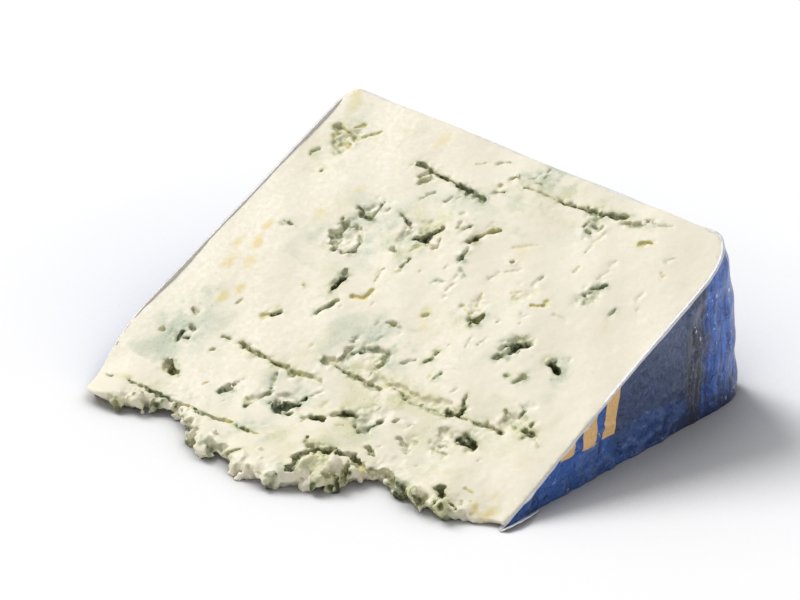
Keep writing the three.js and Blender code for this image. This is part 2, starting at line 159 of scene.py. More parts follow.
# Cracks, slits, pits and needle tracks, each the gap round a line on the cut: its width, how much mould and
# ochre it has, and the x and y of the line's points, to the nearest half millimetre
TRAILS = [
    # The dry hollow in the upper left corner, and the bent slit and pit below it
    (1.3, 0.55, 0.9, 4.5, 77.5, 8, 76.5, 11, 75.5), (0.7, 0.45, 0.8, 11, 76, 14.5, 80),
    (1.0, 0.6, 0.9, 8.5, 74, 10.5, 74), (0.9, 0.5, 0.9, 5.5, 75, 7, 73.5),
    (0.8, 0.4, 0.8, 8, 78.5, 9.5, 79.5), (0.5, 0.8, 0.2, 4.5, 68.5, 4, 69.5, 5, 71),
    (0.8, 0.9, 0, 9.5, 66.5, 9.5, 67),
    # The crevice above the ring, and the ring of blue-green mould
    (0.9, 0.85, 0.3, 24.5, 63, 26.5, 62, 28.5, 62.5), (0.6, 0.75, 0.3, 28.5, 62.5, 28, 66.5),
    (2.2, 0.52, 0, 24.5, 58.5, 24.5, 56), (1.8, 0.52, 0, 25, 56, 26.5, 53.5),
    (1.4, 0.45, 0, 25.5, 59, 28, 59), (1.0, 0.85, 0, 27, 53, 29, 52.5, 31.5, 54.5),
    (0.7, 0.7, 0, 31, 55, 30.5, 57, 28.5, 58.5), (0.9, 0.7, 0.5, 12.5, 53, 14.5, 53),
    # Below the ring: the deep pit and the slits and crescents near it
    (1.7, 1, 0, 33.5, 46, 34, 48.5), (0.7, 0.8, 0, 33.5, 49, 33, 50.5),
    (0.8, 0.85, 0, 35, 39.5, 36.5, 43.5), (1.0, 0.3, 1, 39, 46, 41.5, 46.5, 42, 48.5),
    (0.9, 0.9, 0, 38.5, 58, 39, 58), (0.4, 0.8, 0, 43, 55.5, 43.5, 58), (0.4, 0.35, 0.4, 40.5, 51, 40, 54),
    (0.5, 0.7, 0, 27.5, 43.5, 28, 43.5), (1.4, 0.25, 0.7, 25, 34, 26.5, 35.5),
    (1.1, 0.9, 0.3, 27, 35, 27.5, 36), (0.8, 0.7, 0, 10.5, 28.5, 11.5, 28.5),
    (0.5, 0.5, 0.5, 18, 34, 18.5, 35),
    # The upper left needle track and the tufts beside it
    (1.0, 0.9, 0.1, 28, 76.5, 34, 76.5, 41, 76), (1.2, 0.95, 0, 41, 76, 47, 75.5),
    (0.9, 0.6, 0, 30.5, 74.5, 32.5, 76.5), (1.2, 0.5, 0, 32, 73.5, 33, 75),
    (0.5, 0.7, 0, 35, 70.5, 36.5, 72.5), (0.6, 0.7, 0, 40, 71.5, 41, 73),
    # The dark cavity beside the ring
    (1.0, 0.9, 0, 33.5, 65.5, 36, 65, 38, 64), (2.3, 1, 0, 40.5, 62, 43, 63),
    (1.3, 0.85, 0, 42.5, 64, 44.5, 66), (1.0, 0.5, 0, 44, 62, 46.5, 62),
    (0.5, 0.5, 0, 46.5, 62.5, 46, 64.5), (0.5, 0.7, 0, 30.5, 65.5, 30.5, 65),
    (0.5, 0.65, 0, 47.5, 67.5, 47, 69, 49, 69.5), (0.6, 0.7, 0, 49, 68, 49.5, 69.5),
    # The olive cavity and the slit below it
    (1.8, 0.9, 0.5, 52, 66.5, 52.5, 67.5), (1.7, 0.7, 0.8, 52.5, 67.5, 55, 70.5),
    (0.8, 0.9, 0, 53.5, 62.5, 53, 64), (0.4, 0.5, 0, 53, 64, 52.5, 66),
    # Faint marks along the rind, then the upper right needle track with its cavity
    (0.5, 0.3, 0.3, 39.5, 82, 41.5, 83), (0.5, 0.5, 0, 43.5, 84, 46, 85.5),
    (0.8, 0.4, 0.6, 48, 79.5, 48, 80), (0.7, 0.8, 0, 48.5, 78, 50, 79), (0.5, 0.8, 0, 49, 82, 50, 83.5),
    (0.4, 0.6, 0, 52, 83.5, 53.5, 84.5), (0.4, 0.65, 0, 54.5, 83.5, 56.5, 84),
    (0.5, 0.7, 0, 55, 85.5, 54.5, 87.5), (0.5, 0.65, 0, 53, 81.5, 57, 82, 61.5, 82),
    (1.2, 1, 0, 62, 82, 65.5, 82.5), (0.9, 0.9, 0, 66, 82.5, 70.5, 83.5),
    (1.5, 0.9, 0, 72, 83.5, 74, 84, 76.5, 84.5), (1.2, 0.45, 0, 77, 83.5, 80, 84.5, 83, 86),
    (0.6, 0.3, 0, 83, 85.5, 87, 86.5), (0.6, 0.85, 0, 70, 79.5, 70.5, 81), (0.8, 0.9, 0, 71, 79, 72.5, 79),
    (0.8, 0.9, 0, 71.5, 80.5, 73.5, 80, 74, 81), (0.9, 0.4, 1, 83.5, 81, 85.5, 81.5),
    # Fine slits and crescents right of the middle
    (0.5, 0.9, 0, 63, 66, 63.5, 66.5), (0.4, 0.35, 0, 61.5, 61.5, 62.5, 63.5, 66, 65.5),
    (0.5, 0.7, 0, 71, 65.5, 71, 66.5), (0.4, 0.15, 0.5, 61, 69, 65, 72),
    (0.6, 0.4, 0.8, 73.5, 60, 76, 61, 75.5, 62.5), (0.5, 0.3, 0.4, 76, 70, 76, 71.5),
    (0.7, 0.95, 0, 81.5, 68.5, 83.5, 70.5), (0.4, 0.3, 0, 81, 70, 82, 73), (0.5, 0.75, 0, 81, 67, 82, 68),
    (0.6, 0.6, 0, 82.5, 65.5, 81.5, 67), (0.6, 0.65, 0, 88.5, 65.5, 89, 67),
    (0.4, 0.3, 0, 79, 60.5, 82, 60.5), (0.6, 0.1, 0.7, 68, 60.5, 69.5, 61.5),
    (0.4, 0.3, 0, 91, 79.5, 91.5, 81), (0.6, 0.2, 0.6, 91.5, 77, 92.5, 76.5),
    # The olive cavity in the middle and the marks round it
    (1.5, 0.85, 0.5, 65, 52, 66.5, 53, 66.5, 54.5), (0.6, 0.4, 0.7, 61, 54, 65, 52.5),
    (0.5, 0.4, 0.6, 64, 53.5, 62.5, 58), (0.8, 0.7, 0.8, 55.5, 49, 55.5, 49.5),
    (1.1, 0.65, 0.5, 50, 44.5, 51.5, 45), (0.5, 0.35, 0, 51.5, 55.5, 52, 56.5, 54, 57),
    (0.5, 0.35, 0, 55.5, 55, 56, 57), (0.5, 0.6, 0, 54.5, 60.5, 56.5, 59.5),
    (0.6, 0.8, 0, 43, 55.5, 43.5, 58), (0.6, 0.55, 0, 59, 39, 61, 40.5),
    (0.8, 0.85, 0, 63, 41.5, 64, 42.5, 64, 44), (0.6, 0.85, 0, 67, 39, 68, 40.5),
    (0.5, 0.3, 0, 70, 48.5, 70.5, 50.5), (0.4, 0.3, 0, 68.5, 47, 68, 49),
    (0.4, 0.3, 0, 69.5, 42, 70.5, 42),
    # The dark cavity, the round pit and the brown slit right of the middle
    (0.9, 0.85, 0.3, 75, 48, 76, 49), (0.5, 0.7, 0, 75.5, 49.5, 75, 50.5),
    (1.2, 0.9, 0, 77, 50, 78.5, 50.5), (1.8, 0.95, 0, 76.5, 51.5, 79, 52.5),
    (2.2, 1, 0, 86, 51.5, 87.5, 51), (0.7, 0.6, 0.4, 79.5, 46, 80.5, 46),
    (0.7, 0.75, 0.2, 82.5, 45.5, 83.5, 47.5),
    # The ring near the right edge
    (0.8, 0.6, 0.4, 84.5, 40, 88, 38.5, 90, 38), (1.4, 0.95, 0, 90.5, 38, 92.5, 38),
    (0.7, 0.7, 0, 91.5, 39, 91.5, 40), (0.7, 0.75, 0, 87, 42, 88.5, 41.5, 88, 40),
    (0.3, 0.4, 0, 92.5, 38, 96, 36.5),
    # The arch over the start of the longest track
    (1.1, 0.65, 0.5, 44, 32, 47, 32.5), (0.9, 0.6, 0.2, 47, 32.5, 47, 37),
    (0.9, 0.85, 0, 48, 36, 49.5, 37.5), (1.2, 0.55, 0, 49, 38, 51.5, 39),
    (1.5, 0.5, 0, 51.5, 39, 55, 39.5, 55.5, 37), (0.6, 0.5, 0.4, 55.5, 37, 55.5, 35),
    (0.5, 0.8, 0.4, 55, 33.5, 55, 35.5),
    # The longest track: a dark line, a broad pale groove, a crevice, and a brown end
    (0.8, 0.8, 0.3, 47.5, 32, 53.5, 32.5, 59.5, 32.5), (2.0, 0.12, 0.25, 57, 34, 66, 34.5, 75, 35.5),
    (0.8, 0.95, 0, 62, 33.5, 65, 33), (0.6, 0.65, 0.1, 65, 33, 74.5, 34),
    (1.2, 0.95, 0, 75, 34.5, 77, 35, 77, 36.5), (0.7, 0.75, 0, 76.5, 37, 76, 39),
    (0.9, 0.6, 0.9, 77.5, 35, 83.5, 36), (0.8, 0.85, 0.5, 83.5, 36, 87.5, 36),
    # The left track, dark and then ochre
    (0.7, 0.85, 0, 21.5, 27, 23, 27), (1.1, 0.95, 0, 26, 27, 29, 27), (0.8, 0.85, 0.4, 29, 27, 35, 27),
    (0.9, 0.8, 0.8, 35, 27, 41.5, 27), (1.0, 0.6, 1, 41.5, 27, 45, 28), (0.6, 0.8, 0.5, 45, 28, 47.5, 28),
    # The track along the lip: dashes, a line, then ochre pieces
    (0.8, 0.95, 0, 11.5, 9, 13, 9), (0.7, 0.9, 0, 14, 9, 15, 9), (0.6, 0.85, 0, 16, 9, 17, 9),
    (0.8, 0.95, 0, 17.5, 9.5, 25.5, 10), (1.0, 0.6, 0.5, 25.5, 10, 33, 9.5, 38.5, 10),
    (0.4, 0.9, 0, 27.5, 10, 38, 10), (1.0, 0.5, 1, 38.5, 10, 40.5, 10.5),
    (0.8, 0.8, 0.4, 42.5, 10.5, 45, 10.5), (0.7, 0.4, 0.9, 45, 10.5, 47.5, 10.5),
    # Dark crumbly pits by the left edge
    (1.0, 0.9, 0, 12.5, 22.5, 12, 24), (0.9, 0.9, 0, 13.5, 23, 14.5, 23.5),
    (0.9, 0.9, 0, 13, 25.5, 14, 25), (0.9, 0.6, 0.6, 8, 22, 8.5, 22.5),
    (1.6, 0.9, 0.6, 15.5, 17.5, 18, 16), (0.5, 0.3, 0.7, 16.5, 15, 15, 16.5),
    (0.5, 0.7, 0, 7, 8.5, 8.5, 8.5), (0.8, 0.45, 0.5, 21.5, 23.5, 22, 24),
    (0.6, 0.2, 0.6, 26.5, 16.5, 27, 17.5),
    # The cavities between the tracks
    (1.5, 1, 0, 31.5, 17.5, 32.5, 18.5), (0.6, 0.3, 0, 32, 19, 33, 21),
    (1.0, 0.4, 0.8, 37, 18.5, 38.5, 18), (1.0, 0.85, 0.3, 39, 16.5, 39, 17.5),
    (1.0, 0.9, 0.3, 39.5, 20, 40, 21.5), (0.6, 0.8, 0, 40, 21.5, 38, 25), (2.4, 1, 0, 44.5, 20, 47, 21.5),
    (1.2, 0.75, 0, 46.5, 22, 47, 24), (0.5, 0.55, 0, 47, 24, 49.5, 26.5), (1.2, 0.9, 0, 46, 19, 47.5, 19),
    (1.5, 1, 0, 52.5, 21, 54.5, 21.5), (0.6, 0.5, 0, 50.5, 20, 51.5, 20),
    (1.0, 0.6, 0, 56, 23.5, 57, 25.5), (1.6, 0.95, 0, 57, 25, 60, 25.5),
    (0.7, 0.8, 0, 61, 23.5, 63, 23, 64.5, 23.5), (1.1, 0.8, 0, 64, 24.5, 64.5, 27),
    (0.7, 0.6, 0.7, 56, 16, 59, 13), (0.7, 0.6, 0, 67, 28, 68, 29), (0.6, 0.5, 0, 70, 28.5, 70.5, 29.5),
    (1.2, 0.45, 0, 71, 26, 72.5, 25.5), (0.9, 0.45, 0, 73, 25, 74.5, 24), (2.2, 1, 0, 81, 31, 83.5, 32),
    (1.4, 1, 0, 81, 33, 82.5, 32), (1.2, 0.95, 0, 84, 31.5, 85, 31.5), (0.8, 0.6, 0, 78.5, 28.5, 80, 29),
    (0.7, 0.45, 0.3, 78, 27.5, 81, 27.5), (0.8, 0.3, 0.6, 90, 23, 91.5, 23),
    # The broken tip
    (2.8, 0.7, 0, 61, 13, 64, 15.5, 67, 16), (1.6, 0.9, 0, 60.5, 12.5, 60.5, 9.5),
    (1.6, 1, 0, 60.5, 8, 61.5, 5), (1.4, 0.8, 0.6, 69, 14, 70, 11.5),
    (1.5, 0.5, 0.8, 69.5, 15.5, 72.5, 16.5), (0.4, 0.3, 0.6, 67.5, 16.5, 69, 15),
    (1.2, 0.85, 0.5, 68, 20.5, 69.5, 19.5), (0.6, 0.8, 0, 48, 3, 49, 5), (0.7, 0.6, 0, 54, 2, 54.5, 2),
    (0.7, 0.7, 0, 56.5, 1.5, 57.5, 1.5), (1.3, 0.85, 0.4, 34, 5.5, 36, 4.5), (0.8, 0.7, 0, 29.5, 7, 32, 6),
    (1.2, 0.6, 0.8, 73, 17, 74.5, 18), (1.4, 0.85, 0.6, 75.5, 17.5, 77, 17.5),
    (1.3, 0.95, 0, 78, 17, 80, 16.5), (0.7, 0.7, 0, 82, 17, 83.5, 17.5),
    (1.2, 0.6, 0.5, 84.5, 15.5, 86, 15.5), (0.8, 0.9, 0, 87.5, 15, 89.5, 15.5),
    (1.8, 1, 0, 87, 19.5, 88.5, 18), (1.0, 0.95, 0, 88.5, 16.5, 90.5, 18, 92.5, 17.5),
    (0.5, 0.7, 0, 91.5, 20, 92, 19.5),
]

# Ochre stains with no cavity, as x, y, radius and strength
OCHRE_STAINS = [
    (11, 47, 1.6, 1.0), (9, 40.4, 1.6, 1.0), (14, 34, 1.6, 1.0), (18, 58, 1.8, 0.6), (21, 66, 1.6, 0.6),
    (13, 42, 2.0, 0.7), (4, 83, 2.4, 0.6), (29, 83, 2.4, 0.5), (63, 70, 2.4, 0.4), (97.4, 21.6, 1.7, 0.9),
    (94.6, 20.4, 1.2, 0.8), (96, 24.6, 1.1, 0.6), (10, 51, 1.4, 0.9), (16, 37, 1.6, 0.9),
    (7, 45, 1.2, 0.7), (96, 33, 2.6, 0.3), (57, 47, 1.4, 0.6), (90, 62, 3.0, 0.3), (2, 86, 2.0, 0.8),
    (55, 50, 1.2, 0.6),
]

# Pale green stains with no cavity, as x, y, radius and strength
GREEN_STAINS = [
    (12, 25, 7.0, 0.8), (9, 30, 6.0, 0.5), (56, 38, 5.0, 0.8), (66, 41, 6.0, 0.35), (40, 30, 8.0, 0.35),
    (58, 84, 8.0, 0.8), (70, 83, 7.0, 0.5), (31, 60, 7.0, 0.55), (40, 67, 6.0, 0.5), (6, 70, 6.0, 0.5),
    (22, 82, 6.0, 0.35), (34, 48, 5.0, 0.4), (60, 24, 9.0, 0.5), (82, 24, 9.0, 0.4), (74, 30, 7.0, 0.4),
    (60, 34, 2.6, 0.8), (66, 34.5, 2.6, 0.8), (72, 35, 2.6, 0.8), (45, 12, 9.0, 0.5), (22, 9, 7.0, 0.5),
    (86, 41, 6.0, 0.35), (82, 36, 7.0, 0.4), (50, 24, 8.0, 0.4),
]

# How many slits, cavities and lumps are scattered, and the seeds of their draws and of the noise. The packed
# model has the same two draws: how its cavities are turned, and the crumbs of its tip
FINE_SLITS = 60
SLIT_SEED = 41
UNDERSIDE_CAVITIES = 90
UNDERSIDE_SEED = 19
TIP_CRUMBS = 17
TIP_LUMPS = 44
TIP_SEED = 5
NOISE_SEED = 3
MODEL_TURN_SEED = 7
MODEL_TIP_SEED = 31

# The broken tip: its smooth left corner, the stretch that holds one big lump alone, and that lump
SMOOTH_CORNER = 13.0
BIG_LUMP_STRETCH = (60.0, 69.0)
BIG_LUMP_PLACE = (65.0, 10.6, 2.8)
BIG_LUMP_SIZE = (3.7, 3.9, 2.3)

# The paste's surface: sizes of its noise, how softly its parts run into each other, and its mesh
TEXTURE_SIZES = (2.4, 1.0, 0.5)
PATCH_SIZE = 4.5
LUMP_BLEND = 0.3
HOLLOW_BLEND = 0.35
TRAIL_BLEND = 0.24
DEEPEST_HOLLOW = 6.0
HIGHEST_PASTE = 43.5
PASTE_TRIANGLES = 190_000
SHARP_EDGE = math.radians(62)
CURD_BUMP = 0.22
SMALLEST_CRUMB = 0.25
LARGEST_CRUMB = 0.8

# The foil: its sheet
FOIL_COLUMNS = 440
FOIL_ROWS = 72
FOIL_GAP = 0.03
FOIL_ABOVE_CUT = 0.15
FOIL_OFF_BOARD = 0.12
FOIL_START = 6.0
FOIL_END = 19.0
PLEATS_A_TURN = 66.0
SLACK_FOLDS_A_TURN = 31.0
PLEAT_DEPTH = 0.25
SLACK_DEPTH = 0.3
FLAP_LENGTH = 10.0
FLAP_REACH = 1.5
FLAP_THICKNESS = 0.18

# The foil: where each of its zones fades in on the right face, measured from the wheel's axis. Navy and
# royal blue are print; the slate zone is a painted reflection on the smooth upper part, and the band along
# the fold is painted shade
SLATE_REFLECTION_FROM = (49, 53)
BAND_FROM = (72, 75)
ROYAL_FROM = (78, 80)

# The foil's slanted gold bars: how they lean, how far apart they are and where they lie, their row's two
# ends measured from the wheel's axis, and the height above the board at which they start
BAR_LEAN = 0.18
BAR_PITCH = 6.0
BAR_PHASE = 34.2
BARS_FROM = (35.3, 35.5)
BARS_TO = (51.6, 51.8)
BAR_FOOT = (7.2, 7.5)

# The stage: its floor, its even light as the camera sees it and as it shines, and its key light
FLOOR_REACH = 4000.0
FLOOR_SHADE_REACH = 70.0
SKY_SEEN = 1.0
SKY_LIGHT = 0.48
KEY_DIRECTION = (-0.6, 0.03, 0.62)
KEY_STRENGTH = 2.4
KEY_ANGLE = math.radians(30)


def srgb(red, green, blue):
    """A colour given as it shows on a screen, from 0 to 255, in the linear values that shaders take."""
    def linear(value):
        share = value / 255
        return share / 12.92 if share <= 0.04045 else ((share + 0.055) / 1.055) ** 2.4
    return (linear(red), linear(green), linear(blue))


# Shades that go with the colours of the settings below
CREAM_SHADE = srgb(238, 229, 206)
CREAM_LIGHT = srgb(247, 241, 224)
YELLOW_STAIN = srgb(214, 211, 164)
OLIVE_OCHRE = srgb(219, 210, 140)
PALE_MOULD = srgb(196, 198, 164)
BROWN_MOULD = srgb(112, 106, 52)
# Painted shade: the dark streaked band along the fold of the right face
BAND_FOLD_SHADE = srgb(42, 46, 58)
BAND_GREY = srgb(92, 98, 112)
# Painted shade: the darker streaks along the folds of the royal blue
ROYAL_FOLD_SHADE = srgb(24, 62, 136)
# Painted shade low on the right face, by the board
FOOT_PAINTED_SHADE = srgb(26, 36, 66)
# Creases lighter: partly worn print, partly painted highlight
CREASE_WEAR_AND_HIGHLIGHT = srgb(112, 136, 190)
# Painted shade and painted highlight on the crinkled folds
FOLD_PAINTED_SHADE = srgb(18, 32, 78)
FOLD_PAINTED_HIGHLIGHT = srgb(112, 140, 198)
# Painted glints: white highlights on the crinkles
PAINTED_GLINT = srgb(226, 232, 244)
CUT_EDGE = srgb(240, 240, 243)
FOIL_INSIDE = srgb(240, 240, 242)
TORN_LIGHT = srgb(232, 224, 210)
TORN_TAN = srgb(176, 156, 142)
FLOOR_WHITE = srgb(253, 253, 254)
FLOOR_SHADE = srgb(176, 176, 178)


def cheese_settings():
    return bpy.context.scene.cheese_wedge


# Settings that a user would change

def colour_setting(name, description, red, green, blue):
    return FloatVectorProperty(name=name, description=description, subtype="COLOR", size=3, min=0, max=1,
                               default=srgb(red, green, blue))


def length_setting(name, description, default, low, high):
    return FloatProperty(name=name, description=description, default=default, min=low, max=high,
                         precision=5, unit="LENGTH")


class CheeseWedgeSettings(bpy.types.PropertyGroup):
    """Sizes and colours of the wedge, its foil and the stage"""

    paste_cell: length_setting(
        "Paste detail", "Spacing of the grid that the paste's surface is drawn on",
        0.34 * MM, 0.2 * MM, 2 * MM)
    cream: colour_setting("Cream", "Colour of the clean paste", 240, 233, 212)
    stain: colour_setting("Pale green", "Colour of the stain round the mould", 196, 205, 180)
    mould: colour_setting("Mould", "Colour of the mould that lines the cavities", 148, 146, 102)
    mould_blue: colour_setting("Blue mould", "Colour of the mould where there is no ochre", 132, 142, 118)
    # The dark mould is laid more thickly deeper in the gaps, partly as painted shade
    mould_dark: colour_setting("Dark mould", "Colour of the mould deep in the cavities", 68, 74, 50)
    ochre: colour_setting("Ochre", "Colour of the dry yellow spots", 230, 207, 138)
    crumbs: IntProperty(
        name="Crumbs", description="Loose crumbs for each square centimetre of broken paste",
        default=32, min=0, max=400)
    foil_thickness: length_setting(
        "Foil thickness", "Thickness of the foil with its folded layers", 0.7 * MM, 0.05 * MM, 2 * MM)
    foil_crinkle: length_setting(
        "Crinkle depth", "How deep the small creases of the foil are", 0.42 * MM, 0, 2 * MM)
    foil_navy: colour_setting("Navy", "Colour of the crinkled lower part of the right face", 54, 104, 186)
    # The slate colour is a painted reflection on the foil's smooth upper part, not a printed colour
    foil_slate_reflection: colour_setting("Slate", "Colour of the smooth upper part of the right face", 64, 82, 120)
    foil_royal: colour_setting("Royal blue", "Colour of the foil over the rind", 30, 112, 214)
    gold: colour_setting("Gold", "Colour of the plain printed bars", 255, 206, 132)
    focal_length: FloatProperty(
        name="Focal length", description="Focal length of the camera in millimetres, on a 36 mm sensor",
        default=114.3, min=20, max=300)
    camera_distance: length_setting(
        "Camera distance", "Distance from the camera to the spot that it looks at", 500 * MM, 0.1, 3)
    camera_azimuth: FloatProperty(
        name="Camera azimuth", description="Direction that the camera looks from, 0 being the tip's side",
        default=math.radians(43.275), subtype="ANGLE")
    camera_elevation: FloatProperty(
        name="Camera elevation", description="Height of the camera's direction above the horizon",
        default=math.radians(25.224), subtype="ANGLE")
    camera_aim: FloatVectorProperty(
        name="Camera aim", description="Spot in the wedge that the camera looks at", subtype="TRANSLATION",
        size=3, default=(-0.957 * MM, -0.993 * MM, 20 * MM), precision=5, unit="LENGTH")


# Numbers, steps and noise

def seeded_random(seed):
    """Numbers from 0 to 1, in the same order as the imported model's own draws."""
    mask = 0xFFFFFFFF
    state = seed & mask

    def draw():
        nonlocal state
        state = (state + 0x6D2B79F5) & mask
        t = ((state ^ (state >> 15)) * (1 | state)) & mask
        t = ((t + (((t ^ (t >> 7)) * (61 | t)) & mask)) ^ t) & mask
        return ((t ^ (t >> 14)) & mask) / (mask + 1)
    return draw


def step(value, low, high):
    """0 below low, 1 above high, and a smooth change between them."""
    t = np.clip((value - low) / (high - low), 0, 1)
    return t * t * (3 - 2 * t)


def soft_max(a, b, width):
    h = np.clip(0.5 + 0.5 * (a - b) / width, 0, 1)
    return b + (a - b) * h + width * h * (1 - h)


def soft_min(a, b, width):
    return -soft_max(-a, -b, width)


class CurdNoise:
    """Smooth noise from a seeded table of random values, three of them at a time, from about -1 to 1."""

    SIDE = 64

    def __init__(self, seed):
        self.table = np.random.default_rng(seed).uniform(-1.5, 1.5, (self.SIDE ** 3, 3)).astype(np.float32)

    def at(self, points, scale):
        """The noise at some points, with lumps of about this size, or of one size for each axis."""
        place = (points / np.asarray(scale) + 100).astype(np.float32)
        base = np.floor(place).astype(np.int32)
        t = place - base
        t = t * t * t * (t * (t * 6 - 15) + 10)
        total = np.zeros((len(points), 3), np.float32)
        for corner in product((0, 1), repeat=3):
            x, y, z = ((base + np.array(corner, np.int32)) % self.SIDE).T
            share = np.ones(len(points), np.float32)
            for axis in range(3):
                share *= t[:, axis] if corner[axis] else 1 - t[:, axis]
            total += share[:, None] * self.table[(x * self.SIDE + y) * self.SIDE + z]
        return total


class Nearby:
    """Finds the points within a box round a place, from a list sorted along X."""

    def __init__(self, points):
        self.order = np.argsort(points[:, 0], kind="stable")
        self.points = points[self.order]

    def find(self, place, reach):
        first, last = np.searchsorted(self.points[:, 0], (place[0] - reach, place[0] + reach))
        away = np.abs(self.points[first:last, 1:] - place[1:])
        return self.order[first:last][(away < reach).all(axis=1)]


# The slice's outline

def ease_through(points, x):
    """A height that follows [x, height] points and eases from one to the next."""
    height = np.full(np.shape(x), float(points[0][1]))
    for (x0, y0), (x1, y1) in zip(points, points[1:]):
        height = np.where(x >= x0, y0 + (y1 - y0) * step(x, x0, x1), height)
    return height


def cut_start(x):
    return CUT_START[0] + (CUT_START[1] - CUT_START[0]) * x / WHEEL_HEIGHT


def tip_outline(x):
    return ease_through(TIP_OUTLINE, x)


def lip_height(x, y):
    """The broken lip that takes over from the plane near the tip."""
    behind = np.maximum(y - tip_outline(x), 0)
    ends = step(x, -6, 14) * (1 - 0.75 * step(x, 84, 101))
    nose = 1 - (0.15 + 0.3 * crumbliness(x)) * np.exp(-behind / 1.2)
    return LIP_HEIGHT * ends * nose + LIP_RISE * behind


def cut_height(x, y):
    """The upper cut, with the long shallow waves that the knife left."""
    plane = (y - cut_start(x)) * CUT_SLOPE
    across = np.sin(0.09 * x + 0.13 * y + 0.6) * 0.5
    along = np.sin(0.21 * x - 0.07 * y + 2.1) * 0.3
    fine = np.sin(0.37 * x + 0.31 * y) * 0.2
    return soft_max(plane, lip_height(x, y), LIP_BLEND) + CUT_WAVE * (across + along + fine)


def wheel_distance(points):
    """Below 0 inside the wheel: its two flat faces with their shoulders, and its rind."""
    x = points[:, 0]
    radius = np.hypot(points[:, 1], points[:, 2])

    def shoulder(size):
        radial, axial = size
        into = np.clip((radius - (WHEEL_RADIUS - radial)) / radial, 0, 1)
        return axial * (1 - np.sqrt(1 - into * into))
    dimple = DIMPLE_DEPTH * np.clip(1 - radius / DIMPLE_RADIUS, 0, 1) ** 2
    left = shoulder(LEFT_SHOULDER) + dimple - x
    right = x - (WHEEL_HEIGHT - shoulder(RIGHT_SHOULDER))
    return np.maximum(np.maximum(left, right), radius - WHEEL_RADIUS)


# Cavities, tracks and crumbs

def cut_frame(points, place, turn=0.0):
    """Points as seen from a place on the cut: across the curd's layers, along them, and out of the cut."""
    away = points - place
    up = away[:, 1] * math.cos(CUT_ANGLE) + away[:, 2] * math.sin(CUT_ANGLE)
    out = away[:, 2] * math.cos(CUT_ANGLE) - away[:, 1] * math.sin(CUT_ANGLE)
    across = away[:, 0] * math.cos(turn) - up * math.sin(turn)
    along = away[:, 0] * math.sin(turn) + up * math.cos(turn)
    return np.stack([across, along, out], axis=1)


Opening = namedtuple("Opening", "place size turn mould ochre halo")
Trail = namedtuple("Trail", "width depth mould ochre points middle reach")
Lump = namedtuple("Lump", "place size turn")


def dish_at(cavity, turn):
    """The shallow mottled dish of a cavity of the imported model; the trails in it are its dark gaps."""
    place = np.array([cavity.x, cavity.y, float(cut_height(cavity.x, cavity.y)) + 0.1])
    size = np.array([0.42 * cavity.width, 0.42 * cavity.length, 0.2 + 0.1 * cavity.depth])
    return Opening(place, size, turn, 0.34 * cavity.mould, 0.6 * cavity.ochre, cavity.halo)


def dishes():
    random = seeded_random(MODEL_TURN_SEED)
    return [dish_at(cavity, CURD_TURN + (random() - 0.5) * 0.5) for cavity in MAIN_CAVITIES]


def unfolded(x, y):
    """Places on the cut as they would lie with it laid flat."""
    return np.stack([x, y / math.cos(CUT_ANGLE)], axis=-1)


def trail_through(width, mould, ochre, *places):
    flat = np.array(places, float).reshape(-1, 2)
    middle = flat.mean(axis=0)
    middle = np.array([*middle, float(cut_height(*middle))])
    reach = np.abs(flat - middle[:2]).max() + width + 1.2
    depth = width * (0.15 + mould)
    return Trail(0.88 * width, depth, mould, ochre, unfolded(flat[:, 0], flat[:, 1]), middle, reach)


def cavity_chance(x, y):
    low = 1 - 0.55 * step(y, 35, 90)
    return low * (1 - 0.85 * step(x, 84, 96))


def cut_trails():
    """The marks of the photo, and faint fine slits that run across them along the curd's layers."""
    draw = np.random.default_rng(SLIT_SEED)
    trails = [trail_through(*row) for row in TRAILS]
    while len(trails) < len(TRAILS) + FINE_SLITS:
        x, y, chance = draw.uniform(30, 94), draw.uniform(12, 88), draw.uniform()
        if y < tip_outline(x) + 4 or chance > cavity_chance(x, y):
            continue
        angle = math.pi / 2 - CURD_TURN + draw.uniform(-0.3, 0.3)
        long = 0.3 + 2.4 * draw.uniform() ** 3
        across, up = long * math.cos(angle), long * math.sin(angle)
        width, mould = draw.uniform(0.35, 0.5), draw.uniform(0.15, 0.4)
        ochre = 0.6 * draw.uniform() ** 2
        trails.append(trail_through(width, mould, ochre, x, y, x + across, y + up))
    return trails


def underside_openings():
    """Cavities of the lower cut, which lies on the board."""
    draw = np.random.default_rng(UNDERSIDE_SEED)
    openings = []
    for _ in range(UNDERSIDE_CAVITIES):
        x, y = draw.uniform(5, 96), draw.uniform(16, 90)
        long = 1.6 + 7 * draw.uniform() ** 3
        size = np.array([long * draw.uniform(0.2, 0.4), long / 2, 0.8 + 0.22 * long])
        mould = draw.uniform(0.3, 1.0)
        openings.append(Opening(np.array([x, y, 0.2]), size, CURD_TURN, mould,
                                0.7 * draw.uniform() ** 2, 0.6 * draw.uniform()))
    return openings


def crumbliness(x):
    """How crumbly the broken tip is along its length, with a smooth left corner and a straight stretch."""
    straight = step(x, 33, 40) * (1 - step(x, 54, 60))
    return step(x, 11, 18) * (1 - 0.7 * straight) * (1 - 0.8 * step(x, 93, 99))


